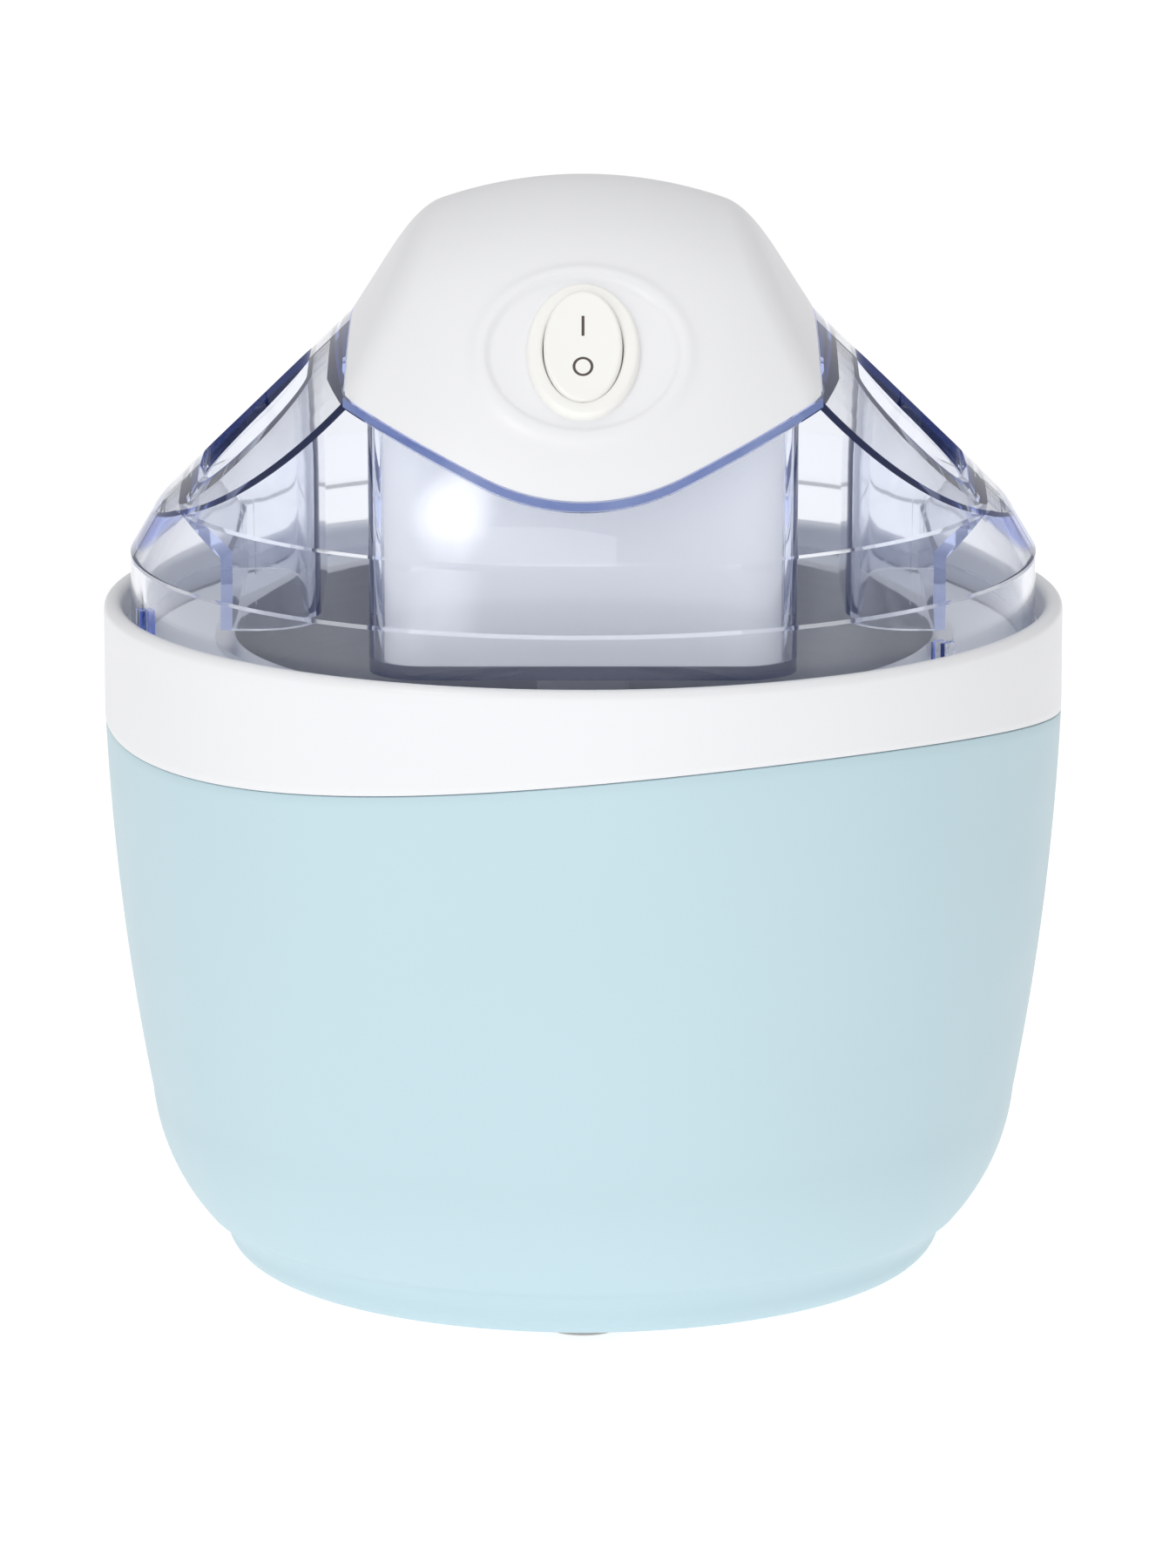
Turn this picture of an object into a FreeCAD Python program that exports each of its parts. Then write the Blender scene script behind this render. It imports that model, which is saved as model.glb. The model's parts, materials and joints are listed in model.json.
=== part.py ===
import FreeCAD, Part
import Sketcher
import math
import os
from types import SimpleNamespace

# Counter-top ice cream maker: a cooled bowl in a round housing, a clear lid with two
# filler slots, and a motor unit that lifts out of the lid and turns the paddle.
# Millimetres, +Z up, front towards -Y, origin on the table under the bowl's axis.

SIZES = {
    # housing
    "foot_lift": 2.5,
    "foot_radius": 7.6,
    "foot_inset": 4.5,
    "foot_stem_radius": 3.0,
    "foot_stem_height": 3.6,
    "shell_wall": 2.5,
    "shell_base_inset": 28.0,
    "shell_rim_inset": 21.7,
    "shell_rim_height": 5.0,
    "shell_rim_round": 6.4,
    "shell_waist_inset": 17.6,
    "shell_waist_height": 9.6,
    "shell_waist_round": 9.0,
    "shell_belly_inset": 8.1,
    "shell_belly_height": 32.0,
    "shell_belly_round": 40.0,
    "shell_side_round": 480.0,
    "shell_shoulder_height": 105.0,
    "lip_width": 8.0,
    "lip_thickness": 3.6,
    "base_flange_width": 7.5,
    "base_flange_thickness": 2.0,
    "ring_radius": 88.0,
    "ring_top": 126.0,
    "ring_wall": 3.4,
    "ring_round": 1.5,
    "ring_ledge_width": 6.6,
    "ring_ledge_height": 116.0,
    "ring_ledge_thickness": 3.0,
    "ring_tongue_wall": 2.0,
    "ring_tongue_depth": 19.0,
    "seam_low": 102.8,
    "seam_rise": 8.8,
    "seam_turn": -59.0,
    "seam_gap": 0.3,
    # bowl
    "bowl_rim_gap": 1.0,
    "bowl_rim_thickness": 2.5,
    "bowl_jacket": 12.5,
    "bowl_taper": 9.0,
    "bowl_floor_height": 30.0,
    "liner_wall": 1.2,
    "liner_lip": 2.4,
    "bowl_skin_gap": 1.5,
    "bowl_skin_taper": 10.5,
    "bowl_skin_wall": 2.0,
    "bowl_skin_base": 14.0,
    "coolant_level": 111.0,
    "coolant_gap": 0.3,
    "filler_plug_radius": 6.0,
    "filler_plug_flange": 9.0,
    "pivot_radius": 4.0,
    "pivot_height": 8.0,
    # paddle
    "paddle_gap": 2.0,
    "paddle_thickness": 5.0,
    "paddle_bar": 9.0,
    "paddle_top": 97.0,
    "paddle_lift": 1.5,
    "hub_radius": 8.5,
    "hub_top": 116.0,
    "socket_depth": 13.0,
    # lid
    "lid_gap": 1.6,
    "lid_wall": 2.2,
    "lid_shoulder": 135.0,
    "lid_flange_proud": 1.0,
    "lid_flange_height": 3.0,
    "dome_inset": 3.0,
    "dome_mid": 123.0,
    "dome_join": 145.5,
    "wing_angle": 43.8,
    "wing_round": 26.0,
    "wing_reach": 2.0,
    "saddle_half": 42.6,
    "saddle_height": 177.0,
    "facet_angle": 57.3,
    "split_low": 156.5,
    "split_round": 45.0,
    "split_angle": 23.3,
    "pocket_half_width": 36.0,
    "pocket_half_depth": 47.0,
    "pocket_round": 8.0,
    "pocket_lift": 0.4,
    "slot_from_pocket": 14.0,
    "slot_inset": 13.0,
    "slot_half_depth": 24.0,
    "slot_round": 9.0,
    "chute_step": 7.0,
    "chute_base": 124.5,
    "chute_knee": 138.0,
    "lug_width": 3.0,
    "lug_height": 7.0,
    "lug_proud": 0.9,
    # motor unit
    "motor_gap": 0.3,
    "pocket_gap": 0.5,
    "case_wall": 2.0,
    "post_radius": 3.6,
    "post_half_width": 28.0,
    "post_half_depth": 38.0,
    "post_meet": 158.0,
    "screw_bite": 6.0,
    "screw_radius": 1.5,
    "screw_head_radius": 2.8,
    "screw_head_height": 1.8,
    "switch_angle": 43.0,
    "dish_depth": 2.6,
    "dish_radius": 17.2,
    "switch_pad_wall": 3.0,
    "bezel_half_width": 10.1,
    "bezel_half_length": 14.8,
    "bezel_thickness": 1.8,
    "switch_neck_wall": 1.3,
    "switch_depth": 13.0,
    "switch_floor": 2.0,
    "rocker_half_width": 7.0,
    "rocker_half_length": 11.6,
    "rocker_gap": 0.7,
    "rocker_crown": 3.0,
    "rocker_below": 3.5,
    "rocker_tilt": 7.0,
    "rocker_pin_radius": 1.2,
    "pin_gap": 0.06,
    "terminal_length": 8.0,
    "terminal_width": 4.8,
    "terminal_thickness": 0.8,
    "terminal_pitch": 10.0,
    "gland_angle": 54.0,
    "gland_radius": 5.2,
    "gland_flange_radius": 8.0,
    "gland_flange": 2.0,
    "gland_inside": 6.0,
    "gland_bore_radius": 3.3,
    # drive
    "gear_module": 1.0,
    "fast_module": 0.75,
    "gear_gap": 0.12,
    "output_gear_base": 128.0,
    "output_gear_width": 6.0,
    "fast_gear_base": 135.5,
    "fast_gear_width": 3.5,
    "shaft_radius": 4.0,
    "shaft_bottom": 105.0,
    "coupling_radius": 5.2,
    "coupling_height": 11.0,
    "coupling_gap": 0.3,
    "bush_radius": 7.0,
    "bush_flange_radius": 10.0,
    "bush_flange": 2.0,
    "seal_height": 1.6,
    "plate_base": 141.0,
    "plate_thickness": 2.0,
    "plate_half_width": 32.0,
    "plate_front": 28.0,
    "plate_back": 33.0,
    "plate_post_half_width": 28.0,
    "plate_post_front": 20.0,
    "plate_post_back": 29.0,
    "idler_pin_radius": 2.0,
    "can_radius": 25.0,
    "can_height": 21.0,
    "can_wall": 1.0,
    "rotor_radius": 10.4,
    "rotor_gap": 0.6,
    "rotor_height": 15.0,
    "rotor_lift": 2.0,
    "rotor_pin_radius": 1.0,
    "rotor_sleeve_radius": 3.0,
    "coil_radius": 22.0,
    "bobbin_wall": 1.2,
    "run_gap": 0.3,
}

OUTPUT_TEETH = 36
IDLER_SMALL_TEETH = 12
IDLER_LARGE_TEETH = 40
PINION_TEETH = 12
PRESSURE_ANGLE = math.radians(25)
ADDENDUM = 0.8
DEDENDUM = 1.1
FLANK_POINTS = 5
FOOT_NAMES = {"foot_front": -90, "foot_right": 30, "foot_left": 150}
BASE_SCREW_ANGLES = (-30, 90, 210)


class Size:
    """A length with its number and the sheet formula that it comes from."""

    def __init__(self, value, text):
        self.value = value
        self.text = text

    def __add__(self, other):
        other = as_size(other)
        return Size(self.value + other.value, f"({self.text} + {other.text})")

    def __sub__(self, other):
        other = as_size(other)
        return Size(self.value - other.value, f"({self.text} - {other.text})")

    def __mul__(self, other):
        other = as_size(other)
        return Size(self.value * other.value, f"({self.text} * {other.text})")

    def __truediv__(self, other):
        other = as_size(other)
        return Size(self.value / other.value, f"({self.text} / {other.text})")

    def __neg__(self):
        return Size(-self.value, f"(0 - {self.text})")


def as_size(number):
    """A plain number as a Size, a Size as it is."""
    if isinstance(number, Size):
        return number
    return Size(float(number), f"({float(number)!r})")


def sine(angle):
    return Size(math.sin(math.radians(angle.value)), f"sin({angle.text})")


def cosine(angle):
    return Size(math.cos(math.radians(angle.value)), f"cos({angle.text})")


def tangent(angle):
    return Size(math.tan(math.radians(angle.value)), f"tan({angle.text})")


def leg(long_side, other):
    """The second leg of a right triangle."""
    square = long_side.value ** 2 - other.value ** 2
    return Size(math.sqrt(square), f"sqrt({long_side.text}^2 - {other.text}^2)")


def hypotenuse(first, second):
    """The long side of a right triangle."""
    square = first.value ** 2 + second.value ** 2
    return Size(math.sqrt(square), f"sqrt({first.text}^2 + {second.text}^2)")


doc = FreeCAD.newDocument("ice_cream_maker")
sheet = doc.addObject("Spreadsheet::Sheet", "dims")
for row, (alias, number) in enumerate(SIZES.items(), start=1):
    sheet.set(f"A{row}", alias)
    sheet.set(f"B{row}", str(number))
    sheet.setAlias(f"B{row}", alias)
doc.recompute()
d = SimpleNamespace(**{alias: Size(float(number), f"dims.{alias}") for alias, number in SIZES.items()})

# Radii and heights that follow from others
d.ring_inside = d.ring_radius - d.ring_wall
d.ring_ledge_radius = d.ring_inside - d.ring_ledge_width
d.shell_base_radius = d.ring_radius - d.shell_base_inset
d.shell_rim_radius = d.ring_radius - d.shell_rim_inset
d.shell_waist_radius = d.ring_radius - d.shell_waist_inset
d.shell_belly_radius = d.ring_radius - d.shell_belly_inset
d.lip_inner_radius = d.shell_base_radius - d.lip_width
d.base_flange_radius = d.lip_inner_radius + d.base_flange_width
d.base_screw_circle = d.lip_inner_radius + d.lip_width / 2
d.foot_circle = d.lip_inner_radius - d.foot_inset
d.bowl_rim_radius = d.ring_inside - d.bowl_rim_gap
d.bowl_skin_top_radius = d.ring_ledge_radius - d.bowl_skin_gap
d.bowl_skin_base_radius = d.bowl_skin_top_radius - d.bowl_skin_taper
d.bowl_top_radius = d.bowl_skin_top_radius - d.bowl_jacket
d.bowl_floor_radius = d.bowl_top_radius - d.bowl_taper
d.lid_base = d.ring_ledge_height + d.bowl_rim_thickness
d.lid_radius = d.ring_inside - d.lid_gap
d.lid_flange_radius = d.lid_radius + d.lid_flange_proud
d.dome_radius = d.lid_radius - d.dome_inset
d.dome_crest = d.dome_mid + d.dome_radius
d.switch_plane = d.dome_radius - d.dish_depth
d.pocket_floor = d.lid_base + d.liner_wall + d.pocket_lift + d.lid_wall
d.slot_inner = d.pocket_half_width + d.slot_from_pocket
d.slot_outer = d.lid_radius - d.slot_inset
d.chute_outer = d.slot_outer - d.chute_step


def place(item, x=0, y=0, z=0, yaw=0, pitch=0, roll=0):
    """Bind an object's place and turn to the sheet."""
    spot = "; ".join(as_size(value).text for value in (x, y, z))
    turn = "; ".join(as_size(value).text for value in (yaw, pitch, roll))
    vector = f"create(<<vector>>; {spot})"
    rotation = f"create(<<rotation>>; {turn})"
    item.setExpression("Placement", f"create(<<placement>>; {vector}; {rotation})")
    return item


def cylinder(name, radius, height, x=0, y=0, z=0, yaw=0, pitch=0, roll=0):
    item = doc.addObject("Part::Cylinder", name)
    item.setExpression("Radius", as_size(radius).text)
    item.setExpression("Height", as_size(height).text)
    return place(item, x, y, z, yaw, pitch, roll)


def block(name, width, depth, height, x=0, y=0, z=0):
    """A box centred on x and y, standing on z."""
    width, depth, x, y = (as_size(value) for value in (width, depth, x, y))
    item = doc.addObject("Part::Box", name)
    item.setExpression("Length", width.text)
    item.setExpression("Width", depth.text)
    item.setExpression("Height", as_size(height).text)
    return place(item, x - width / 2, y - depth / 2, z)


def oval(name, half_width, half_length, height, z=0):
    """An elliptical prism, long in Y."""
    edge = doc.addObject("Part::Ellipse", name + "_edge")
    edge.setExpression("MajorRadius", half_length.text)
    edge.setExpression("MinorRadius", half_width.text)
    place(edge, z=z, yaw=90)
    item = doc.addObject("Part::Extrusion", name)
    item.Base = edge
    item.DirMode = "Custom"
    item.Dir = FreeCAD.Vector(0, 0, 1)
    item.Solid = True
    item.setExpression("LengthFwd", as_size(height).text)
    return item


def cut(name, base, *tools):
    for index, tool in enumerate(tools):
        item = doc.addObject("Part::Cut", f"{name}_cut{index}")
        item.Base = base
        item.Tool = tool
        base = item
    return base


def common(name, base, tool):
    item = doc.addObject("Part::Common", name)
    item.Base = base
    item.Tool = tool
    return item


def fuse(name, *items):
    item = doc.addObject("Part::MultiFuse", name)
    item.Shapes = list(items)
    return item


def moved(name, source, x=0, y=0, z=0, yaw=0, pitch=0, roll=0):
    """A group of one, so that a piece drawn about its own origin gets its place."""
    item = doc.addObject("Part::Compound", name)
    item.Links = [source]
    return place(item, x, y, z, yaw, pitch, roll)


def outline_sketch(body, plane_role, corners):
    """Closed outline in a sketch. Each corner is (x, y), or (x, y, radius, side) where the
    stretch that starts there is an arc with its centre on that side of the way round."""
    sketch = body.newObject("Sketcher::SketchObject", body.Name + "_sketch")
    plane = next(item for item in body.Origin.OriginFeatures if item.Role == plane_role)
    sketch.AttachmentSupport = [(plane, "")]
    sketch.MapMode = "FlatFace"
    points = [(as_size(corner[0]), as_size(corner[1])) for corner in corners]
    starts = []
    for index, corner in enumerate(corners):
        start = FreeCAD.Vector(points[index][0].value, points[index][1].value, 0)
        after = points[(index + 1) % len(points)]
        end = FreeCAD.Vector(after[0].value, after[1].value, 0)
        if len(corner) == 2:
            sketch.addGeometry(Part.LineSegment(start, end), False)
            starts.append(1)
        else:
            sketch.addGeometry(arc_between(start, end, corner[2].value, corner[3]), False)
            starts.append(1 if corner[3] == "left" else 2)
    for index in range(len(corners)):
        after = (index + 1) % len(corners)
        end_spot = 3 - starts[index]
        sketch.addConstraint(Sketcher.Constraint("Coincident", index, end_spot, after, starts[after]))
    for index, (x, y) in enumerate(points):
        pin_coordinate(sketch, "DistanceX", f"x{index}", index, starts[index], x, -2)
        pin_coordinate(sketch, "DistanceY", f"y{index}", index, starts[index], y, -1)
    for index, corner in enumerate(corners):
        if len(corner) > 2:
            number = sketch.addConstraint(Sketcher.Constraint("Radius", index, corner[2].value))
            sketch.renameConstraint(number, f"bend{index}")
            sketch.setExpression(f"Constraints.bend{index}", corner[2].text)
    return sketch


def arc_between(start, end, radius, side):
    chord = end - start
    half = chord.Length / 2
    sign = 1 if side == "left" else -1
    across = FreeCAD.Vector(-chord.y, chord.x, 0).normalize() * sign
    centre = (start + end) / 2 + across * math.sqrt(max(radius ** 2 - half ** 2, 0))
    first, last = (start, end) if side == "left" else (end, start)
    circle = Part.Circle(centre, FreeCAD.Vector(0, 0, 1), radius)
    from_angle = math.atan2(first.y - centre.y, first.x - centre.x)
    to_angle = math.atan2(last.y - centre.y, last.x - centre.x)
    return Part.ArcOfCircle(circle, from_angle, to_angle)


def pin_coordinate(sketch, kind, name, geometry, spot, size, axis):
    if size.value == 0:
        sketch.addConstraint(Sketcher.Constraint("PointOnObject", geometry, spot, axis))
        return
    number = sketch.addConstraint(Sketcher.Constraint(kind, -1, 1, geometry, spot, size.value))
    sketch.renameConstraint(number, name)
    sketch.setExpression(f"Constraints.{name}", size.text)


def turned(name, corners, axis="V_Axis"):
    """A solid turned about Z, or about X with axis H_Axis, from an outline in the XZ plane."""
    body = doc.addObject("PartDesign::Body", name)
    sketch = outline_sketch(body, "XZ_Plane", corners)
    turn = body.newObject("PartDesign::Revolution", name + "_turn")
    turn.Profile = sketch
    turn.ReferenceAxis = (sketch, [axis])
    turn.Angle = 360
    return body


def padded(name, corners, length, plane_role="XZ_Plane", both_ways=True):
    body = doc.addObject("PartDesign::Body", name)
    sketch = outline_sketch(body, plane_role, corners)
    pad = body.newObject("PartDesign::Pad", name + "_pad")
    pad.Profile = sketch
    pad.setExpression("Length", as_size(length).text)
    pad.SideType = "Symmetric" if both_ways else "One side"
    return body


def rounded_block(name, half_x, half_y, radius, height, x=0, z=0):
    """An upright block with rounded corners, standing on z."""
    corners = [
        (half_x - radius, -half_y, radius, "left"),
        (half_x, radius - half_y),
        (half_x, half_y - radius, radius, "left"),
        (half_x - radius, half_y),
        (radius - half_x, half_y, radius, "left"),
        (-half_x, half_y - radius),
        (-half_x, radius - half_y, radius, "left"),
        (radius - half_x, -half_y),
    ]
    return place(padded(name, corners, height, "XY_Plane", False), x=x, z=z)


def ring_points(angles, radius):
    """Places on a circle, as Sizes, for angles in degrees."""
    for angle in angles:
        turn = math.radians(angle)
        yield radius * math.cos(turn), radius * math.sin(turn)


NODES = []


def node(label, item):
    """Give a finished piece the name of its file."""
    item.Label = label
    NODES.append(item)
    return item


# Housing

def shell_outline(inset, base, top):
    """The blue shell's side, moved in by the wall for its inside."""
    lift = d.foot_lift
    return [
        (0, base),
        (d.shell_base_radius - inset, base, d.shell_rim_round, "left"),
        (d.shell_rim_radius - inset, lift + d.shell_rim_height, d.shell_waist_round, "right"),
        (d.shell_waist_radius - inset, lift + d.shell_waist_height, d.shell_belly_round, "left"),
        (d.shell_belly_radius - inset, lift + d.shell_belly_height, d.shell_side_round, "left"),
        (d.ring_radius - inset, lift + d.shell_shoulder_height),
        (d.ring_radius - inset, top),
        (0, top),
    ]


def seam_former(name, drop):
    """A large lying cylinder: its underside is the wavy seam round the housing."""
    rise = d.seam_rise
    radius = (d.ring_radius * d.ring_radius + rise * rise) / (rise * 2)
    half_length = d.ring_radius + d.ring_wall * 3
    turn = d.seam_turn
    back_x = -half_length * sine(turn)
    back_y = half_length * cosine(turn)
    height = d.seam_low - drop + radius
    return cylinder(name, radius, half_length * 2, back_x, back_y, height, yaw=turn, roll=90)


def shell_side_radius(height):
    """The shell's outer radius at a height on its long side."""
    low = d.foot_lift + d.shell_belly_height
    high = d.foot_lift + d.shell_shoulder_height
    out = d.ring_radius - d.shell_belly_radius
    chord = hypotenuse(out, high - low)
    back = leg(d.shell_side_round, chord / 2)
    middle_r = (d.shell_belly_radius + d.ring_radius) / 2 - back * (high - low) / chord
    middle_z = (low + high) / 2 + back * out / chord
    return middle_r + leg(d.shell_side_round, height - middle_z)


def build_housing():
    lip_top = d.foot_lift + d.lip_thickness
    shell_top = d.ring_ledge_height
    outer = turned("shell_form", shell_outline(as_size(0), d.foot_lift, shell_top))
    inner = turned("shell_space", shell_outline(d.shell_wall, lip_top, shell_top + d.shell_wall))
    hole = cylinder("shell_base_hole", d.lip_inner_radius, d.lip_thickness * 4)
    recess = d.screw_head_height + d.run_gap
    screw_holes = []
    for index, (x, y) in enumerate(ring_points(BASE_SCREW_ANGLES, d.base_screw_circle)):
        bore_radius = d.screw_radius + d.pin_gap
        head_radius = d.screw_head_radius + d.pin_gap
        screw_holes.append(cylinder(f"shell_screw_hole{index}", bore_radius, lip_top * 2, x, y))
        screw_holes.append(cylinder(f"shell_screw_recess{index}", head_radius, d.foot_lift + recess, x, y))
    below_seam = seam_former("shell_seam", d.seam_gap)
    node("outer_shell", cut("outer_shell", outer, inner, hole, below_seam, *screw_holes))

    wall = turned("ring_wall_form", [
        (d.ring_inside, d.seam_low - d.seam_rise),
        (d.ring_radius, d.seam_low - d.seam_rise),
        (d.ring_radius, d.ring_top - d.ring_round, d.ring_round, "left"),
        (d.ring_radius - d.ring_round, d.ring_top),
        (d.ring_inside, d.ring_top),
    ])
    wall = common("ring_wall", wall, seam_former("ring_seam", as_size(0)))
    tongue_low = d.ring_ledge_height - d.ring_tongue_depth
    tongue_out = shell_side_radius(tongue_low) - d.shell_wall - d.seam_gap
    tongue_in = tongue_out - d.ring_tongue_wall
    ledge_under = d.ring_ledge_height - d.ring_ledge_thickness
    ledge_out = d.ring_inside + d.ring_wall / 2
    ledge = turned("ring_ledge", [
        (d.ring_ledge_radius, ledge_under),
        (tongue_in, ledge_under),
        (tongue_in, tongue_low),
        (tongue_out, tongue_low),
        (tongue_out, ledge_under),
        (ledge_out, ledge_under),
        (ledge_out, d.ring_ledge_height),
        (d.ring_ledge_radius, d.ring_ledge_height),
    ])
    node("upper_ring", fuse("upper_ring", wall, ledge))

    plate = turned("base_plate_form", [
        (0, d.foot_lift),
        (d.lip_inner_radius - d.seam_gap, d.foot_lift),
        (d.lip_inner_radius - d.seam_gap, lip_top),
        (d.base_flange_radius, lip_top),
        (d.base_flange_radius, lip_top + d.base_flange_thickness),
        (0, lip_top + d.base_flange_thickness),
    ])
    stem_holes = []
    for name, angle in FOOT_NAMES.items():
        x, y = next(ring_points((angle,), d.foot_circle))
        disc = cylinder(name + "_disc", d.foot_radius, d.foot_lift, x, y)
        stem_height = d.foot_lift + d.foot_stem_height
        stem = cylinder(name + "_stem", d.foot_stem_radius, stem_height, x, y)
        node(name, fuse(name, disc, stem))
        hole_radius = d.foot_stem_radius + d.pin_gap
        stem_holes.append(cylinder(name + "_hole", hole_radius, stem_height * 2, x, y))
    screws = []
    screw_bores = []
    screw_length = d.lip_thickness + d.base_flange_thickness - d.run_gap
    for index, (x, y) in enumerate(ring_points(BASE_SCREW_ANGLES, d.base_screw_circle)):
        head_z = d.foot_lift + d.run_gap
        head_radius = d.screw_head_radius
        shank = cylinder(f"base_screw_shank{index}", d.screw_radius, screw_length, x, y, head_z)
        head = cylinder(f"base_screw_head{index}", head_radius, d.screw_head_height, x, y, head_z)
        screws.append(fuse(f"base_screw{index}", shank, head))
        bore_radius = d.screw_radius + d.pin_gap
        screw_bores.append(cylinder(f"base_screw_bore{index}", bore_radius, screw_length * 4, x, y))
    node("base_plate", cut("base_plate", plate, *stem_holes, *screw_bores))
    node("base_screws", fuse("base_screws", *screws))


# Bowl

def wall_radius(height):
    """The bowl's inner radius at a height."""
    rim_top = d.ring_ledge_height + d.bowl_rim_thickness
    share = (height - d.bowl_floor_height) / (rim_top - d.bowl_floor_height)
    return d.bowl_floor_radius + (d.bowl_top_radius - d.bowl_floor_radius) * share


def skin_radius(height):
    """The bowl's outer radius at a height."""
    share = (height - d.bowl_skin_base) / (d.ring_ledge_height - d.bowl_skin_base)
    return d.bowl_skin_base_radius + (d.bowl_skin_top_radius - d.bowl_skin_base_radius) * share


def build_bowl():
    rim_base = d.ring_ledge_height
    rim_top = rim_base + d.bowl_rim_thickness
    liner_out = d.bowl_top_radius + d.liner_wall
    node("bowl_liner", turned("bowl_liner", [
        (0, d.bowl_floor_height - d.liner_wall),
        (d.bowl_floor_radius + d.liner_wall, d.bowl_floor_height - d.liner_wall),
        (liner_out, rim_top),
        (liner_out + d.liner_lip, rim_top),
        (liner_out + d.liner_lip, rim_top + d.liner_wall),
        (d.bowl_top_radius, rim_top + d.liner_wall),
        (d.bowl_floor_radius, d.bowl_floor_height),
        (d.pivot_radius, d.bowl_floor_height),
        (d.pivot_radius, d.bowl_floor_height + d.pivot_height),
        (0, d.bowl_floor_height + d.pivot_height),
    ]))
    node("bowl_rim", turned("bowl_rim", [
        (liner_out + d.coolant_gap, rim_base),
        (d.bowl_rim_radius, rim_base),
        (d.bowl_rim_radius, rim_top),
        (liner_out + d.coolant_gap, rim_top),
    ]))
    base = d.bowl_skin_base
    wall = d.bowl_skin_wall
    skin = turned("bowl_skin_form", [
        (0, base),
        (d.bowl_skin_base_radius, base),
        (d.bowl_skin_top_radius, rim_base),
        (d.bowl_skin_top_radius - wall, rim_base),
        (skin_radius(base + wall) - wall, base + wall),
        (0, base + wall),
    ])
    plug_hole = cylinder("plug_hole", d.filler_plug_radius + d.pin_gap, wall * 4, z=base - wall)
    node("bowl_outer", cut("bowl_outer", skin, plug_hole))
    gap = d.coolant_gap
    floor = base + wall + wall
    roof = d.bowl_floor_height - d.liner_wall - gap
    node("coolant_fill", turned("coolant_fill", [
        (0, floor),
        (skin_radius(floor) - wall - gap, floor),
        (skin_radius(d.coolant_level) - wall - gap, d.coolant_level),
        (wall_radius(d.coolant_level) + d.liner_wall + gap, d.coolant_level),
        (d.bowl_floor_radius + d.liner_wall + gap, roof),
        (0, roof),
    ]))
    node("filler_plug", turned("filler_plug", [
        (0, base - wall / 2),
        (d.filler_plug_flange, base - wall / 2),
        (d.filler_plug_flange, base),
        (d.filler_plug_radius, base),
        (d.filler_plug_radius, base + wall),
        (0, base + wall),
    ]))


# Paddle

def build_paddle():
    floor = d.bowl_floor_height + d.paddle_lift
    gap = d.paddle_gap
    top = d.paddle_top
    bar = d.paddle_bar
    core = d.hub_radius / 2
    window_low = floor + bar
    window_high = top - bar
    pieces = [cylinder("paddle_hub", d.hub_radius, d.hub_top - floor, z=floor)]
    for name, sign in (("paddle_right", 1), ("paddle_left", -1)):
        side = "left" if sign > 0 else "right"
        frame = padded(name + "_frame", [
            (core * sign, floor),
            ((wall_radius(floor) - gap) * sign, floor),
            ((wall_radius(top) - gap) * sign, top),
            (core * sign, top),
        ], d.paddle_thickness)
        window = padded(name + "_window", [
            (d.hub_radius * sign, window_low),
            ((wall_radius(window_low) - gap - bar) * sign, window_low),
            ((wall_radius(window_high) - gap - bar) * sign, window_high - bar * 2, bar * 2, side),
            ((wall_radius(window_high) - gap - bar * 3) * sign, window_high),
            (d.hub_radius * sign, window_high),
        ], d.paddle_thickness * 2)
        pieces.append(cut(name, frame, window))
    body = fuse("paddle_body", *pieces)
    pivot_space = d.pivot_height - d.paddle_lift + d.run_gap
    pivot = cylinder("paddle_pivot", d.pivot_radius + d.run_gap, pivot_space, z=floor)
    socket = hexagon("paddle_socket", d.coupling_radius + d.coupling_gap, d.socket_depth)
    place(socket, z=d.hub_top - d.socket_depth)
    node("paddle", cut("paddle", body, pivot, socket))


def hexagon(name, radius, height):
    item = doc.addObject("Part::Prism", name)
    item.Polygon = 6
    item.setExpression("Circumradius", as_size(radius).text)
    item.setExpression("Height", as_size(height).text)
    return item


# Lid and the dome that it shares with the motor unit

def dome_form(name, inset, base):
    radius = d.dome_radius - inset
    return turned(name, [
        (0, base),
        (d.lid_radius - inset, base),
        (d.lid_radius - inset, d.lid_shoulder - inset / 2),
        (leg(radius, d.dome_join - d.dome_mid), d.dome_join, radius, "left"),
        (0, d.dome_mid + radius),
    ])


def wing_form(name, inset):
    """The two sloping wings and the facets above them, arched about the X axis."""
    wing = d.wing_angle
    facet = d.facet_angle
    slide = (as_size(1) / cosine(wing) - as_size(1) / cosine(facet)) / (tangent(facet) - tangent(wing))
    saddle_x = d.saddle_half + inset * slide
    saddle_z = d.saddle_height - inset / cosine(wing) - inset * slide * tangent(wing)
    side_x = d.lid_radius + d.wing_reach - inset
    corner_z = saddle_z - (side_x - saddle_x) * tangent(wing)
    reach = d.wing_round * tangent((as_size(90) - wing) / 2)
    bend_low = corner_z - reach
    bend_x = side_x - reach * cosine(wing)
    bend_z = corner_z + reach * sine(wing)
    top = d.dome_crest + d.lid_wall
    top_x = saddle_x - (top - saddle_z) / tangent(facet)
    low = d.ring_top / 2
    return turned(name, [
        (-side_x, low),
        (side_x, low),
        (side_x, bend_low, d.wing_round, "left"),
        (bend_x, bend_z),
        (saddle_x, saddle_z),
        (top_x, top),
        (-top_x, top),
        (-saddle_x, saddle_z),
        (-bend_x, bend_z, d.wing_round, "left"),
        (-side_x, bend_low),
    ], "H_Axis")


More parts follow.
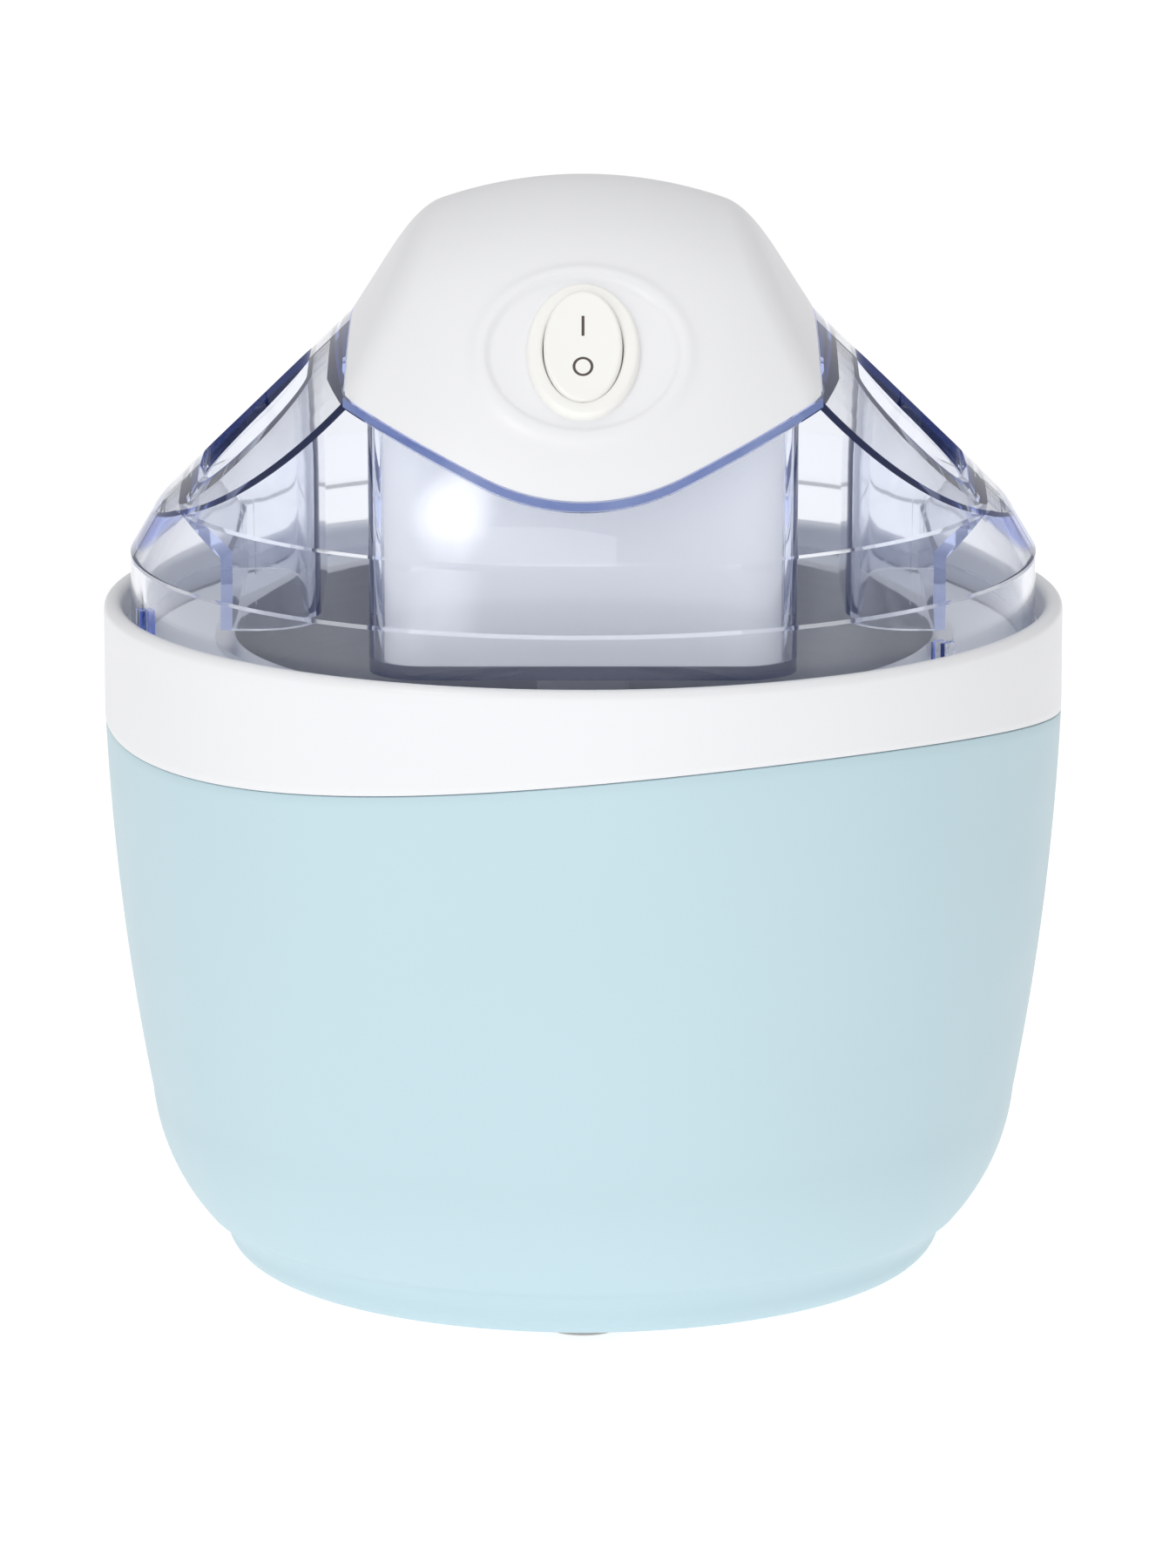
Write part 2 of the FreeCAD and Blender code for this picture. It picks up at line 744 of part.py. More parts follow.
def motor_zone(name, widen, lower):
    """The space over the lid's saddle, where the motor unit sits."""
    half = d.saddle_half + widen
    low = d.split_low - lower
    slope = d.split_angle
    bend_x = d.split_round * sine(slope)
    bend_z = low + d.split_round * (as_size(1) - cosine(slope))
    edge_z = bend_z + (half - bend_x) * tangent(slope)
    top = d.dome_crest + d.lid_wall * 2
    return padded(name, [
        (-bend_x, bend_z, d.split_round, "left"),
        (bend_x, bend_z),
        (half, edge_z),
        (half, top),
        (-half, top),
        (-half, edge_z),
    ], d.lid_radius * 2 + d.lid_wall * 4)


def chute_form(name, sign, grow, base):
    """A filler slot's way down: wide at the wing and narrow below."""
    inner = d.slot_inner - grow
    outer = d.slot_outer + grow
    throat = d.chute_outer + grow
    knee = d.chute_knee - grow / 2
    corners = [
        (inner * sign, base),
        (throat * sign, base),
        (throat * sign, knee),
        (outer * sign, knee + outer - throat),
        (outer * sign, d.saddle_height),
        (inner * sign, d.saddle_height),
    ]
    side = padded(name + "_side", corners, (d.slot_half_depth + grow) * 3)
    middle = (d.slot_inner + d.slot_outer) / 2 * sign
    half_x = (d.slot_outer - d.slot_inner) / 2 + grow
    half_y = d.slot_half_depth + grow
    plan = rounded_block(name + "_plan", half_x, half_y, d.slot_round + grow, d.dome_crest, x=middle)
    return common(name, side, plan)


def build_lid(outer):
    wall = d.lid_wall
    blank = cut("lid_blank", outer, motor_zone("lid_saddle", as_size(0), as_size(0)))
    inner = common("lid_inner", dome_form("lid_dome_inner", wall, d.lid_base - wall),
                   wing_form("lid_wing_inner", wall))
    pocket_height = d.dome_crest - d.pocket_floor
    pocket_walls = rounded_block(
        "pocket_walls", d.pocket_half_width + wall, d.pocket_half_depth + wall,
        d.pocket_round + wall, pocket_height + wall, z=d.pocket_floor - wall)
    pocket = rounded_block(
        "pocket", d.pocket_half_width, d.pocket_half_depth, d.pocket_round, pocket_height, z=d.pocket_floor)
    keep = [motor_zone("lid_saddle_wall", wall, wall), pocket_walls]
    take = [pocket]
    for name, sign in (("chute_right", 1), ("chute_left", -1)):
        keep.append(chute_form(name + "_walls", sign, wall, d.chute_base))
        take.append(chute_form(name, sign, as_size(0), d.chute_base - wall))
    hollow = cut("lid_hollow", inner, *keep)
    shaft_hole = cylinder("lid_shaft_hole", d.bush_flange_radius + d.run_gap, wall * 4,
                          z=d.pocket_floor - wall * 2)
    shell = cut("lid_shell", blank, hollow, *take, shaft_hole)
    flange = turned("lid_flange", [
        (d.lid_radius - wall, d.lid_base),
        (d.lid_flange_radius, d.lid_base),
        (d.lid_flange_radius, d.lid_base + d.lid_flange_height),
        (d.lid_radius - wall, d.lid_base + d.lid_flange_height),
    ])
    lug_z = d.lid_base + d.lid_flange_height - d.lug_proud
    lugs = []
    for name, angle in (("lug_left", -164), ("lug_right", -39)):
        turn = math.radians(angle)
        reach = d.lid_radius - wall / 2
        lug = block(name, wall + d.lug_proud * 2, d.lug_width, d.lug_height)
        holder = moved(name + "_spot", lug, reach * math.cos(turn), reach * math.sin(turn), lug_z, yaw=angle)
        lugs.append(holder)
    node("lid", fuse("lid", shell, flange, *lugs))


# Motor unit: covers and switch

def dome_spot(angle, distance):
    """A place on a ray from the dome's centre, tilted from upright towards the front."""
    return -distance * sine(angle), d.dome_mid + distance * cosine(angle)


def on_switch(name, item, distance, extra_tilt=0):
    y, z = dome_spot(d.switch_angle, distance)
    return moved(name, item, y=y, z=z, roll=d.switch_angle + extra_tilt)


def on_gland(name, item, distance):
    y, z = dome_spot(d.gland_angle, distance)
    return moved(name, item, y=-y, z=z, roll=-d.gland_angle)


def post_places():
    for x_sign in (1, -1):
        for y_sign in (1, -1):
            yield d.post_half_width * x_sign, d.post_half_depth * y_sign


def build_covers(outer):
    wall = d.lid_wall
    gap = d.motor_gap
    skin = common("cover_skin", outer, motor_zone("cover_zone", -gap, -gap))
    inner = common("cover_inner", dome_form("cover_dome_inner", wall, d.lid_base),
                   wing_form("cover_wing_inner", wall))
    inner = common("cover_space", inner, motor_zone("cover_inner_zone", -gap - wall, d.saddle_half))
    shell = cut("cover_shell", skin, inner)
    pad_base = d.switch_plane - d.switch_pad_wall
    pad = cylinder("switch_pad", d.dish_radius + wall, d.dome_radius - pad_base - wall / 4)
    pad = on_switch("switch_pad_spot", pad, pad_base)
    gland_base = d.dome_radius - wall - d.gland_flange
    gland_pad = cylinder("gland_pad", d.gland_flange_radius + wall, d.gland_flange + wall / 2)
    gland_pad = on_gland("gland_pad_spot", gland_pad, gland_base)
    posts = []
    holes = []
    for index, (x, y) in enumerate(post_places()):
        height = d.dome_crest - d.post_meet
        posts.append(cylinder(f"cover_post{index}", d.post_radius, height, x, y, d.post_meet))
        holes.append(cylinder(f"cover_bore{index}", d.screw_radius + d.pin_gap, d.screw_bite * 2,
                              x, y, d.post_meet - d.screw_bite))
    posts = fuse("cover_posts", pad, gland_pad, *posts)
    posts = common("cover_posts_inside", posts, outer)
    solid = fuse("cover_solid", shell, posts)
    dish = on_switch("dish_spot", cylinder("dish", d.dish_radius, d.dome_radius), d.switch_plane)
    neck_half_width = d.rocker_half_width + d.rocker_gap + d.switch_neck_wall + d.pin_gap
    neck_half_length = d.rocker_half_length + d.rocker_gap + d.switch_neck_wall + d.pin_gap
    opening = oval("switch_opening", neck_half_width, neck_half_length, d.switch_pad_wall * 4)
    opening = on_switch("switch_opening_spot", opening, pad_base - d.switch_pad_wall)
    seat = cylinder("gland_seat", d.gland_flange_radius + d.pin_gap, d.gland_flange * 4)
    seat = on_gland("gland_seat_spot", seat, d.dome_radius - d.gland_flange / 2)
    gland_hole = cylinder("gland_hole", d.gland_radius + d.pin_gap, d.gland_inside * 4)
    gland_hole = on_gland("gland_hole_spot", gland_hole, d.dome_radius - d.gland_inside * 2)
    node("motor_top_cover", cut("motor_top_cover", solid, dish, opening, seat, gland_hole, *holes))

    fit = d.pocket_gap
    half_x = d.pocket_half_width - fit
    half_y = d.pocket_half_depth - fit
    floor = d.pocket_floor
    height = d.saddle_height - floor
    tub = rounded_block("case_form", half_x, half_y, d.pocket_round - fit, height, z=floor)
    space = rounded_block("case_space", half_x - d.case_wall, half_y - d.case_wall,
                          d.pocket_round - fit - d.case_wall, height, z=floor + d.case_wall)
    shell = cut("case_shell", tub, space, motor_zone("case_trim", as_size(0), d.motor_gap))
    posts = []
    bores = []
    screws = []
    for index, (x, y) in enumerate(post_places()):
        height = d.post_meet - floor
        posts.append(cylinder(f"case_post{index}", d.post_radius, height, x, y, floor))
        head_radius = d.screw_head_radius
        recess = d.screw_head_height + d.run_gap
        bore_radius = d.screw_radius + d.pin_gap
        below = floor - recess
        bores.append(cylinder(f"case_bore{index}", bore_radius, height * 2, x, y, below))
        bores.append(cylinder(f"case_recess{index}", head_radius + d.pin_gap, recess * 2, x, y, below))
        head = cylinder(f"case_screw_head{index}", head_radius, d.screw_head_height, x, y, floor + d.run_gap)
        shank_height = d.post_meet - floor + d.screw_head_height
        shank = cylinder(f"case_screw_shank{index}", d.screw_radius, shank_height, x, y, floor + d.run_gap)
        screws.append(fuse(f"case_screw{index}", head, shank))
    for index, (x, y) in enumerate(plate_places()):
        height = d.plate_base - floor
        posts.append(cylinder(f"plate_post{index}", d.post_radius, height, x, y, floor))
        bores.append(cylinder(f"plate_bore{index}", d.screw_radius + d.pin_gap, height, x, y,
                              floor + d.case_wall * 4))
    idler_boss = cylinder("idler_boss", d.idler_pin_radius * 2, d.case_wall * 2, 0, IDLER_Y, floor)
    idler_bore = cylinder("idler_bore", d.idler_pin_radius + d.pin_gap, d.case_wall * 4, 0, IDLER_Y,
                          floor + d.case_wall)
    bush_bore = cylinder("bush_bore", d.bush_radius + d.pin_gap, d.case_wall * 4, z=floor - d.case_wall)
    solid = fuse("case_solid", shell, idler_boss, *posts)
    node("motor_lower_case", cut("motor_lower_case", solid, idler_bore, bush_bore, *bores))
    node("case_screws", fuse("case_screws", *screws))

    gland = turned("gland_form", [
        (d.gland_bore_radius, -d.gland_inside),
        (d.gland_radius, -d.gland_inside),
        (d.gland_radius, 0),
        (d.gland_flange_radius, 0),
        (d.gland_flange_radius, d.gland_flange / 2),
        (d.gland_flange_radius - d.gland_flange / 2, d.gland_flange),
        (d.gland_bore_radius, d.gland_flange),
    ])
    node("cord_gland", on_gland("cord_gland", gland, d.dome_radius - d.gland_flange / 2))


def build_switch():
    inside_width = d.rocker_half_width + d.rocker_gap
    inside_length = d.rocker_half_length + d.rocker_gap
    neck_width = inside_width + d.switch_neck_wall
    neck_length = inside_length + d.switch_neck_wall
    bezel = oval("bezel", d.bezel_half_width, d.bezel_half_length, d.bezel_thickness)
    neck = oval("switch_neck", neck_width, neck_length, d.switch_depth, z=-d.switch_depth)
    well_depth = d.switch_depth - d.switch_floor
    well = oval("switch_well", inside_width, inside_length, d.switch_depth * 2, z=-well_depth)
    pin_length = neck_width * 2 - d.switch_neck_wall
    hole = cylinder("rocker_pin_hole", d.rocker_pin_radius + d.pin_gap, pin_length + d.pin_gap * 2,
                    x=-(pin_length / 2 + d.pin_gap), yaw=90, roll=90)
    frame = cut("switch_frame_form", fuse("switch_frame_solid", bezel, neck), well, hole)
    node("switch_frame", on_switch("switch_frame", frame, d.switch_plane))

    tall = oval("rocker_form", d.rocker_half_width, d.rocker_half_length,
                d.rocker_crown + d.rocker_below, z=-d.rocker_below)
    swing = cylinder("rocker_swing", d.rocker_half_length, d.rocker_half_width * 4,
                     x=-(d.rocker_half_width * 2), yaw=90, roll=90)
    pin = cylinder("rocker_pin", d.rocker_pin_radius, pin_length, x=-(pin_length / 2), yaw=90, roll=90)
    rocker = fuse("rocker_solid", common("rocker_block", tall, swing), pin)
    node("rocker", on_switch("rocker", rocker, d.switch_plane, d.rocker_tilt))

    blades = []
    for index, sign in enumerate((1, -1)):
        blade = block(f"terminal{index}", d.terminal_width, d.terminal_thickness, d.terminal_length,
                      0, d.terminal_pitch / 2 * sign, -(d.switch_depth + d.terminal_length))
        blades.append(blade)
    blades = fuse("terminal_pair", *blades)
    node("switch_terminals", on_switch("switch_terminals", blades, d.switch_plane))


# Drive

def gear_distance(module, *teeth):
    return module * (sum(teeth) / 2)


IDLER_Y = gear_distance(d.gear_module, OUTPUT_TEETH, IDLER_SMALL_TEETH)
ROTOR_Y = IDLER_Y - gear_distance(d.fast_module, IDLER_LARGE_TEETH, PINION_TEETH)


def plate_places():
    for x_sign in (1, -1):
        yield d.plate_post_half_width * x_sign, -d.plate_post_front
        yield d.plate_post_half_width * x_sign, d.plate_post_back


def gear_face(teeth, module, first_tooth):
    """A spur gear's outline with involute flanks, one tooth centred on the angle first_tooth."""
    pitch = module * teeth / 2
    base = pitch * math.cos(PRESSURE_ANGLE)
    tip = pitch + module * ADDENDUM
    root = pitch - module * DEDENDUM
    at_pitch = math.tan(PRESSURE_ANGLE) - PRESSURE_ANGLE
    half_tooth = math.pi / (2 * teeth) - d.gear_gap.value / (2 * pitch)
    low = max(base, root)
    flank = []
    for step in range(FLANK_POINTS):
        radius = low + (tip - low) * step / (FLANK_POINTS - 1)
        roll = math.acos(min(base / radius, 1))
        flank.append((radius, half_tooth + at_pitch - (math.tan(roll) - roll)))
    if root < low:
        flank.insert(0, (root, flank[0][1]))
    points = []
    for tooth in range(teeth):
        middle = math.radians(first_tooth) + 2 * math.pi * tooth / teeth
        points += [(radius, middle - half) for radius, half in flank]
        points += [(radius, middle + half) for radius, half in reversed(flank)]
    corners = [FreeCAD.Vector(r * math.cos(a), r * math.sin(a), 0) for r, a in points]
    return Part.Face(Part.makePolygon(corners + corners[:1]))


def gear(name, teeth, module, first_tooth, width, x, y, z):
    """A toothed wheel as a plain shape, because its outline is a formula."""
    item = doc.addObject("Part::Feature", name)
    item.Shape = gear_face(teeth, module.value, first_tooth).extrude(FreeCAD.Vector(0, 0, width.value))
    return place(item, x, y, z)


def build_drive():
    low = d.output_gear_base
    width = d.output_gear_width
    fast_low = d.fast_gear_base
    fast_width = d.fast_gear_width
    plate_top = d.plate_base + d.plate_thickness
    bore_gap = d.pin_gap
    half_tooth = 180 / IDLER_SMALL_TEETH

    wheel = gear("output_teeth", OUTPUT_TEETH, d.gear_module, 90, width, 0, 0, low)
    wheel_bore = cylinder("output_bore", d.shaft_radius + bore_gap, width * 3, z=low - width)
    node("output_gear", cut("output_gear", wheel, wheel_bore))
    coupling_top = d.shaft_bottom + d.coupling_height
    shaft_top = low + width + d.run_gap
    shaft_length = shaft_top - d.shaft_bottom
    node("output_shaft", cylinder("output_shaft", d.shaft_radius, shaft_length, z=d.shaft_bottom))
    tip = hexagon("coupling_hex", d.coupling_radius, d.coupling_height)
    place(tip, z=d.shaft_bottom)
    tip_bore = cylinder("coupling_bore", d.shaft_radius + bore_gap, d.coupling_height * 3,
                        z=d.shaft_bottom - d.coupling_height)
    node("drive_coupling", cut("drive_coupling", tip, tip_bore))

    bush_low = coupling_top + d.run_gap + d.seal_height
    bush_top = low - d.run_gap
    bush_bore = d.shaft_radius + bore_gap
    flange_base = d.pocket_floor + d.case_wall
    node("shaft_bush", turned("shaft_bush", [
        (bush_bore, bush_low),
        (d.bush_radius, bush_low),
        (d.bush_radius, flange_base),
        (d.bush_flange_radius, flange_base),
        (d.bush_flange_radius, flange_base + d.bush_flange),
        (d.bush_radius, flange_base + d.bush_flange),
        (d.bush_radius, bush_top),
        (bush_bore, bush_top),
    ]))
    node("shaft_seal", turned("shaft_seal", [
        (d.shaft_radius + d.run_gap, bush_low - d.seal_height),
        (d.bush_radius, bush_low - d.seal_height),
        (d.bush_radius, bush_low),
        (d.shaft_radius + d.run_gap, bush_low),
    ]))

    small_low = low - d.run_gap * 2
    small = gear("idler_small", IDLER_SMALL_TEETH, d.gear_module, 270 + half_tooth,
                 fast_low - small_low, 0, IDLER_Y, small_low)
    large = gear("idler_large", IDLER_LARGE_TEETH, d.fast_module, 270, fast_width, 0, IDLER_Y, fast_low)
    idler_bore = cylinder("idler_gear_bore", d.idler_pin_radius + bore_gap, d.plate_base, 0, IDLER_Y)
    node("idler_gear", cut("idler_gear", fuse("idler_teeth", small, large), idler_bore))
    pin_low = d.pocket_floor + d.case_wall
    node("idler_pin", cylinder("idler_pin", d.idler_pin_radius, plate_top - pin_low, 0, IDLER_Y, pin_low))

    plate = block("plate_form", d.plate_half_width * 2, d.plate_front + d.plate_back, d.plate_thickness,
                  0, (d.plate_back - d.plate_front) / 2, d.plate_base)
    sleeve_hole = cylinder("plate_sleeve_hole", d.rotor_sleeve_radius + d.rotor_gap, plate_top * 2,
                           0, ROTOR_Y)
    pin_hole = cylinder("plate_pin_hole", d.idler_pin_radius + bore_gap, plate_top * 2, 0, IDLER_Y)
    screw_holes = []
    screws = []
    for index, (x, y) in enumerate(plate_places()):
        hole_radius = d.screw_radius + bore_gap
        screw_holes.append(cylinder(f"plate_screw_hole{index}", hole_radius, plate_top * 2, x, y))
        length = d.plate_thickness * 4
        shank = cylinder(f"plate_screw_shank{index}", d.screw_radius, length, x, y, plate_top - length)
        head = cylinder(f"plate_screw_head{index}", d.screw_head_radius, d.screw_head_height, x, y, plate_top)
        screws.append(fuse(f"plate_screw{index}", shank, head))
    node("gear_plate", cut("gear_plate", plate, sleeve_hole, pin_hole, *screw_holes))
    node("plate_screws", fuse("plate_screws", *screws))

    can_top = plate_top + d.can_height
    can = turned("can_form", [
        (d.rotor_pin_radius + bore_gap, can_top - d.can_wall),
        (d.can_radius - d.can_wall, can_top - d.can_wall),
        (d.can_radius - d.can_wall, plate_top),
        (d.can_radius, plate_top),
        (d.can_radius, can_top),
        (d.rotor_pin_radius + bore_gap, can_top),
    ])
    node("motor_can", moved("motor_can", can, y=ROTOR_Y))
    spool_in = d.rotor_radius + d.rotor_gap
    spool_out = spool_in + d.bobbin_wall
    spool_low = plate_top + d.rotor_lift
    spool_top = spool_low + d.rotor_height
    bobbin = turned("bobbin_form", [
        (spool_in, spool_low),
        (d.coil_radius, spool_low),
        (d.coil_radius, spool_low + d.bobbin_wall),
        (spool_out, spool_low + d.bobbin_wall),
        (spool_out, spool_top - d.bobbin_wall),
        (d.coil_radius, spool_top - d.bobbin_wall),
        (d.coil_radius, spool_top),
        (spool_in, spool_top),
    ])
    node("coil_bobbin", moved("coil_bobbin", bobbin, y=ROTOR_Y))
    wire = turned("winding_form", [
        (spool_out + bore_gap, spool_low + d.bobbin_wall + bore_gap),
        (d.coil_radius - d.bobbin_wall, spool_low + d.bobbin_wall + bore_gap),
        (d.coil_radius - d.bobbin_wall, spool_top - d.bobbin_wall - bore_gap),
        (spool_out + bore_gap, spool_top - d.bobbin_wall - bore_gap),
    ])
    node("coil_winding", moved("coil_winding", wire, y=ROTOR_Y))

    axle_bore = d.rotor_pin_radius + bore_gap
    magnet = turned("magnet_form", [
        (axle_bore, spool_low),
        (d.rotor_radius, spool_low),
        (d.rotor_radius, spool_top),
        (axle_bore, spool_top),
    ])
    node("rotor_magnet", moved("rotor_magnet", magnet, y=ROTOR_Y))
    pinion = gear("pinion_teeth", PINION_TEETH, d.fast_module, 90 + half_tooth,
                  fast_width, 0, ROTOR_Y, fast_low)
    sleeve_low = fast_low + fast_width
    sleeve = cylinder("pinion_sleeve", d.rotor_sleeve_radius, spool_low - sleeve_low, 0, ROTOR_Y, sleeve_low)
    pinion_bore = cylinder("pinion_bore", axle_bore, can_top, 0, ROTOR_Y)
    node("rotor_pinion", cut("rotor_pinion", fuse("pinion_solid", pinion, sleeve), pinion_bore))
    node("rotor_axle", cylinder("rotor_axle", d.rotor_pin_radius, can_top - fast_low, 0, ROTOR_Y, fast_low))


def main():
    build_housing()
    build_bowl()
    build_paddle()
    outer = common("dome_outer", dome_form("dome_round", as_size(0), d.lid_base),
                   wing_form("dome_wings", as_size(0)))
    build_lid(outer)
    build_covers(outer)
    build_switch()
    build_drive()
    doc.recompute()
    for item in doc.Objects:
        if "Invalid" in item.State or "Error" in item.State:
            raise RuntimeError(f"{item.Name} failed: {item.State}")
    for item in NODES:
        if item.Shape.isNull() or not item.Shape.isValid():
            raise RuntimeError(f"{item.Label} has no valid shape")
    os.makedirs("parts", exist_ok=True)
    for item in NODES:
        item.Shape.exportStep(f"parts/{item.Label}.step")
        print(f"{item.Label}: {len(item.Shape.Solids)} solids, {item.Shape.Volume:.0f} mm3")


main()
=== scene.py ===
import json
import math
import bpy
import bmesh
from mathutils import Matrix, Vector


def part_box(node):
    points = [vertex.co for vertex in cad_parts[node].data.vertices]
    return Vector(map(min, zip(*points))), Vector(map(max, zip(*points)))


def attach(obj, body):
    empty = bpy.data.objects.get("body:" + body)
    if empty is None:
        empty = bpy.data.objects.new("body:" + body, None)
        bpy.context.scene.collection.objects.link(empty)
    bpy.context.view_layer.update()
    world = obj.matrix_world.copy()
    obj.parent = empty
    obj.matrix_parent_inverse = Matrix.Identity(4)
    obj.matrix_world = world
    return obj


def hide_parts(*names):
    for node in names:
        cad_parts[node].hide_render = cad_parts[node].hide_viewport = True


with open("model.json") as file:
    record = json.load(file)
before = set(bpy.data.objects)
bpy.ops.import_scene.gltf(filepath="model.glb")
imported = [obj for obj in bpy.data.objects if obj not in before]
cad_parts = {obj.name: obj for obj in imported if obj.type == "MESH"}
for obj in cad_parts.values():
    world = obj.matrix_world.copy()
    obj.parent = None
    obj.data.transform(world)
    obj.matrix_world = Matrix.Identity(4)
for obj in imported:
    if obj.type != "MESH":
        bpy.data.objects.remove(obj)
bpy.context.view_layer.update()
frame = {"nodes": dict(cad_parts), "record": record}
NODES = frame["nodes"]

# Sizes in metres, in the frame of the solids

MM = 0.001

# Ring
RING_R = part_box("upper_ring")[1].x
RING_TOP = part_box("upper_ring")[1].z
RING_WALL = 3.4 * MM
RING_ROUND = 1.7 * MM
LEDGE_R = 78.0 * MM
LEDGE_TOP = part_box("bowl_rim")[0].z
LEDGE_UNDER = LEDGE_TOP - 3.0 * MM
TONGUE_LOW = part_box("upper_ring")[0].z
TONGUE_R = 84.7 * MM
TONGUE_WALL = 2.0 * MM

# Shell: its outline's corners as (radius, height), and the rounds between them
SHELL_WALL = 2.5 * MM
SHELL_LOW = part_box("outer_shell")[0].z
SHELL_BASE = (60.0 * MM, SHELL_LOW)
SHELL_RIM = (66.3 * MM, SHELL_LOW + 5.0 * MM)
SHELL_WAIST = (70.4 * MM, SHELL_LOW + 9.6 * MM)
SHELL_BELLY = (79.9 * MM, SHELL_LOW + 32.0 * MM)
SHELL_SHOULDER = (RING_R, SHELL_LOW + 105.0 * MM)
SHELL_RIM_ROUND = 6.4 * MM
SHELL_WAIST_ROUND = 9.0 * MM
SHELL_BELLY_ROUND = 40.0 * MM
SHELL_SIDE_ROUND = 480.0 * MM
LIP_R = 52.0 * MM
LIP_TOP = SHELL_LOW + 3.6 * MM

# Seam between ring and shell
SEAM_LOW = 102.8 * MM
SEAM_RISE = 8.8 * MM
SEAM_TURN = math.radians(-59)
SEAM_GAP = 0.15 * MM
SEAM_EDGE = 0.25 * MM
SEAM_EDGE_MID = 0.3 * SEAM_EDGE

# Feet
FOOT_ROUND = 1.2 * MM
FOOT_STEM_R = 3.0 * MM

# Dome, lid and motor cover
DOME_MID = Vector((0, 0, 123.0 * MM))
DOME_R = 80.0 * MM
FACET_ANGLE = math.radians(57.3)
SADDLE_HALF = 42.6 * MM
SADDLE_TOP = 177.0 * MM
SPLIT_LOW = 156.5 * MM
SPLIT_ROUND = 45.0 * MM
SPLIT_ANGLE = math.radians(23.3)
MOTOR_GAP = 0.3 * MM
LID_WALL = 2.2 * MM
LID_FLANGE_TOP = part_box("lid")[0].z + 3.0 * MM
WING_ANGLE = math.radians(43.8)
BEAD_WIDTH = 1.3 * MM
BEAD_PROUD = 0.2 * MM
COVER_WALL = 2.2 * MM
COVER_BLEND = 4.8 * MM
COVER_CROWDING = math.radians(81)
CASE_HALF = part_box("motor_lower_case")[1]
CASE_FLANGE_WALL = 1.6 * MM
CASE_FLANGE_LAP = 1.5 * MM
CASE_CORNER_ROUND = 6.0 * MM
GLAND_R = 5.3 * MM
GLAND_PLACE = Matrix.Translation(DOME_MID) @ Matrix.Rotation(math.radians(-54), 4, "X")
GLAND_HOLE = (70.0 * MM, 90.0 * MM)

# Switch, in its own frame on the dome
SWITCH_TILT = math.radians(43)
SWITCH_PLANE = 77.4 * MM
SWITCH_NORMAL = Vector((0, -math.sin(SWITCH_TILT), math.cos(SWITCH_TILT)))
SWITCH_MID = DOME_MID + SWITCH_NORMAL * SWITCH_PLANE
SWITCH_PLACE = Matrix.Translation(SWITCH_MID) @ Matrix.Rotation(SWITCH_TILT, 4, "X")
SWITCH_HOLE = (-14.0 * MM, 8.0 * MM)
DISH_R = 17.2 * MM
DISH_EDGE = 0.5 * MM
DISH_FALL = 1.4 * MM
DISH_LIP_HEIGHT = 0.35 * MM
DISH_LIP_OUT = 1.6 * MM
DISH_LIP_WIDTH = 1.3 * MM
BEZEL_HALF = (10.1 * MM, 14.8 * MM)
BEZEL_EDGE = 0.5 * MM
BEZEL_CREST = 1.8 * MM
BEZEL_ROUND = 0.9 * MM
BEZEL_INNER_ROUND = 0.6 * MM
BEZEL_INNER_MID = (0.2 * MM, 0.15 * MM)
WELL_HALF = (7.15 * MM, 11.8 * MM)
WELL_FLOOR = -11.0 * MM
WELL_FLOOR_WIDTH = 6.0 * MM
NECK_HALF = (9.0 * MM, 13.6 * MM)
NECK_LOW = -13.0 * MM
ROCKER_HALF = (7.0 * MM, 11.6 * MM)
ROCKER_PLACE = SWITCH_PLACE @ Matrix.Rotation(math.radians(7), 4, "X")
ROCKER_CROWN = 3.0 * MM
ROCKER_BELOW = 3.5 * MM
ROCKER_ROUND = 0.9 * MM
ROCKER_HOLLOW = 0.35 * MM
ROCKER_SIDE_SHARE = 0.995
ROCKER_FACE_SHARE = 0.905
MARK_WIDTH = 1.0 * MM
MARK_SUNK_SHARE = 0.42
MARK_OUT = 4.15 * MM
MARK_LINE_HALF = 2.0 * MM
MARK_RING_HALF = (1.6 * MM, 1.75 * MM)

# How finely the meshes are divided
ROUND_STEPS = 288
SWITCH_STEPS = 128
SIDE_STEPS = 40
RIM_STEPS = 10
BELLY_STEPS = 20
RING_SIDE_STEPS = 12
EDGE_STEPS = 8
SMALL_EDGE_STEPS = 6
COVER_ACROSS_STEPS = 220
COVER_ALONG_STEPS = 300
FLANGE_STEPS = 8
BEAD_STEPS = 120
ROCKER_FACE_STEPS = 15
MARK_LINE_STEPS = 8
MARK_RING_STEPS = 48
CUTTER_STEPS = 96
WELD_DISTANCE = 0.001 * MM
SWITCH_SHARP_DEGREES = 50.0


# Materials

NOISE_SPAN = (0.15, 0.85)
COLOUR_DRIFT = (0.99, 1.005)
COLOUR_DRIFT_SCALE = 28.0
GLOSS_DRIFT = (0.93, 1.07)
GLOSS_DRIFT_SCALE = 90.0
GRAIN_STRENGTH = 0.12
METAL_GLOSS_DRIFT = (0.8, 1.2)
METAL_DARK = 0.92
METAL_MARK_STRENGTH = 0.2
METAL_MARK_DEPTH = 0.02 * MM
LID_IOR = 1.42
LID_GLOSS = (0.01, 0.05)
LID_GLOSS_SCALE = 60.0
LID_WAVE_SCALE = 45.0
LID_WAVE_STRENGTH = 0.03
LID_WAVE_DEPTH = 0.3 * MM
# Painted light on the lid: where its cut edges turn blue and glow, how strongly, and a faint painted glow
# over all of it
EDGE_ACROSS = (0.25, 0.6)
EDGE_NEAR_SKIN = (0.8 * MM, 0.2 * MM)
EDGE_SOFT_FLANGE = 0.3 * MM
EDGE_SOFT_WING = 0.6 * MM
EDGE_STEEP = (0.45, 0.62)
EDGE_GLOW = 0.11
SKIN_GLOW = 0.012
BEAD_GLOSS = (0.06, 0.14)
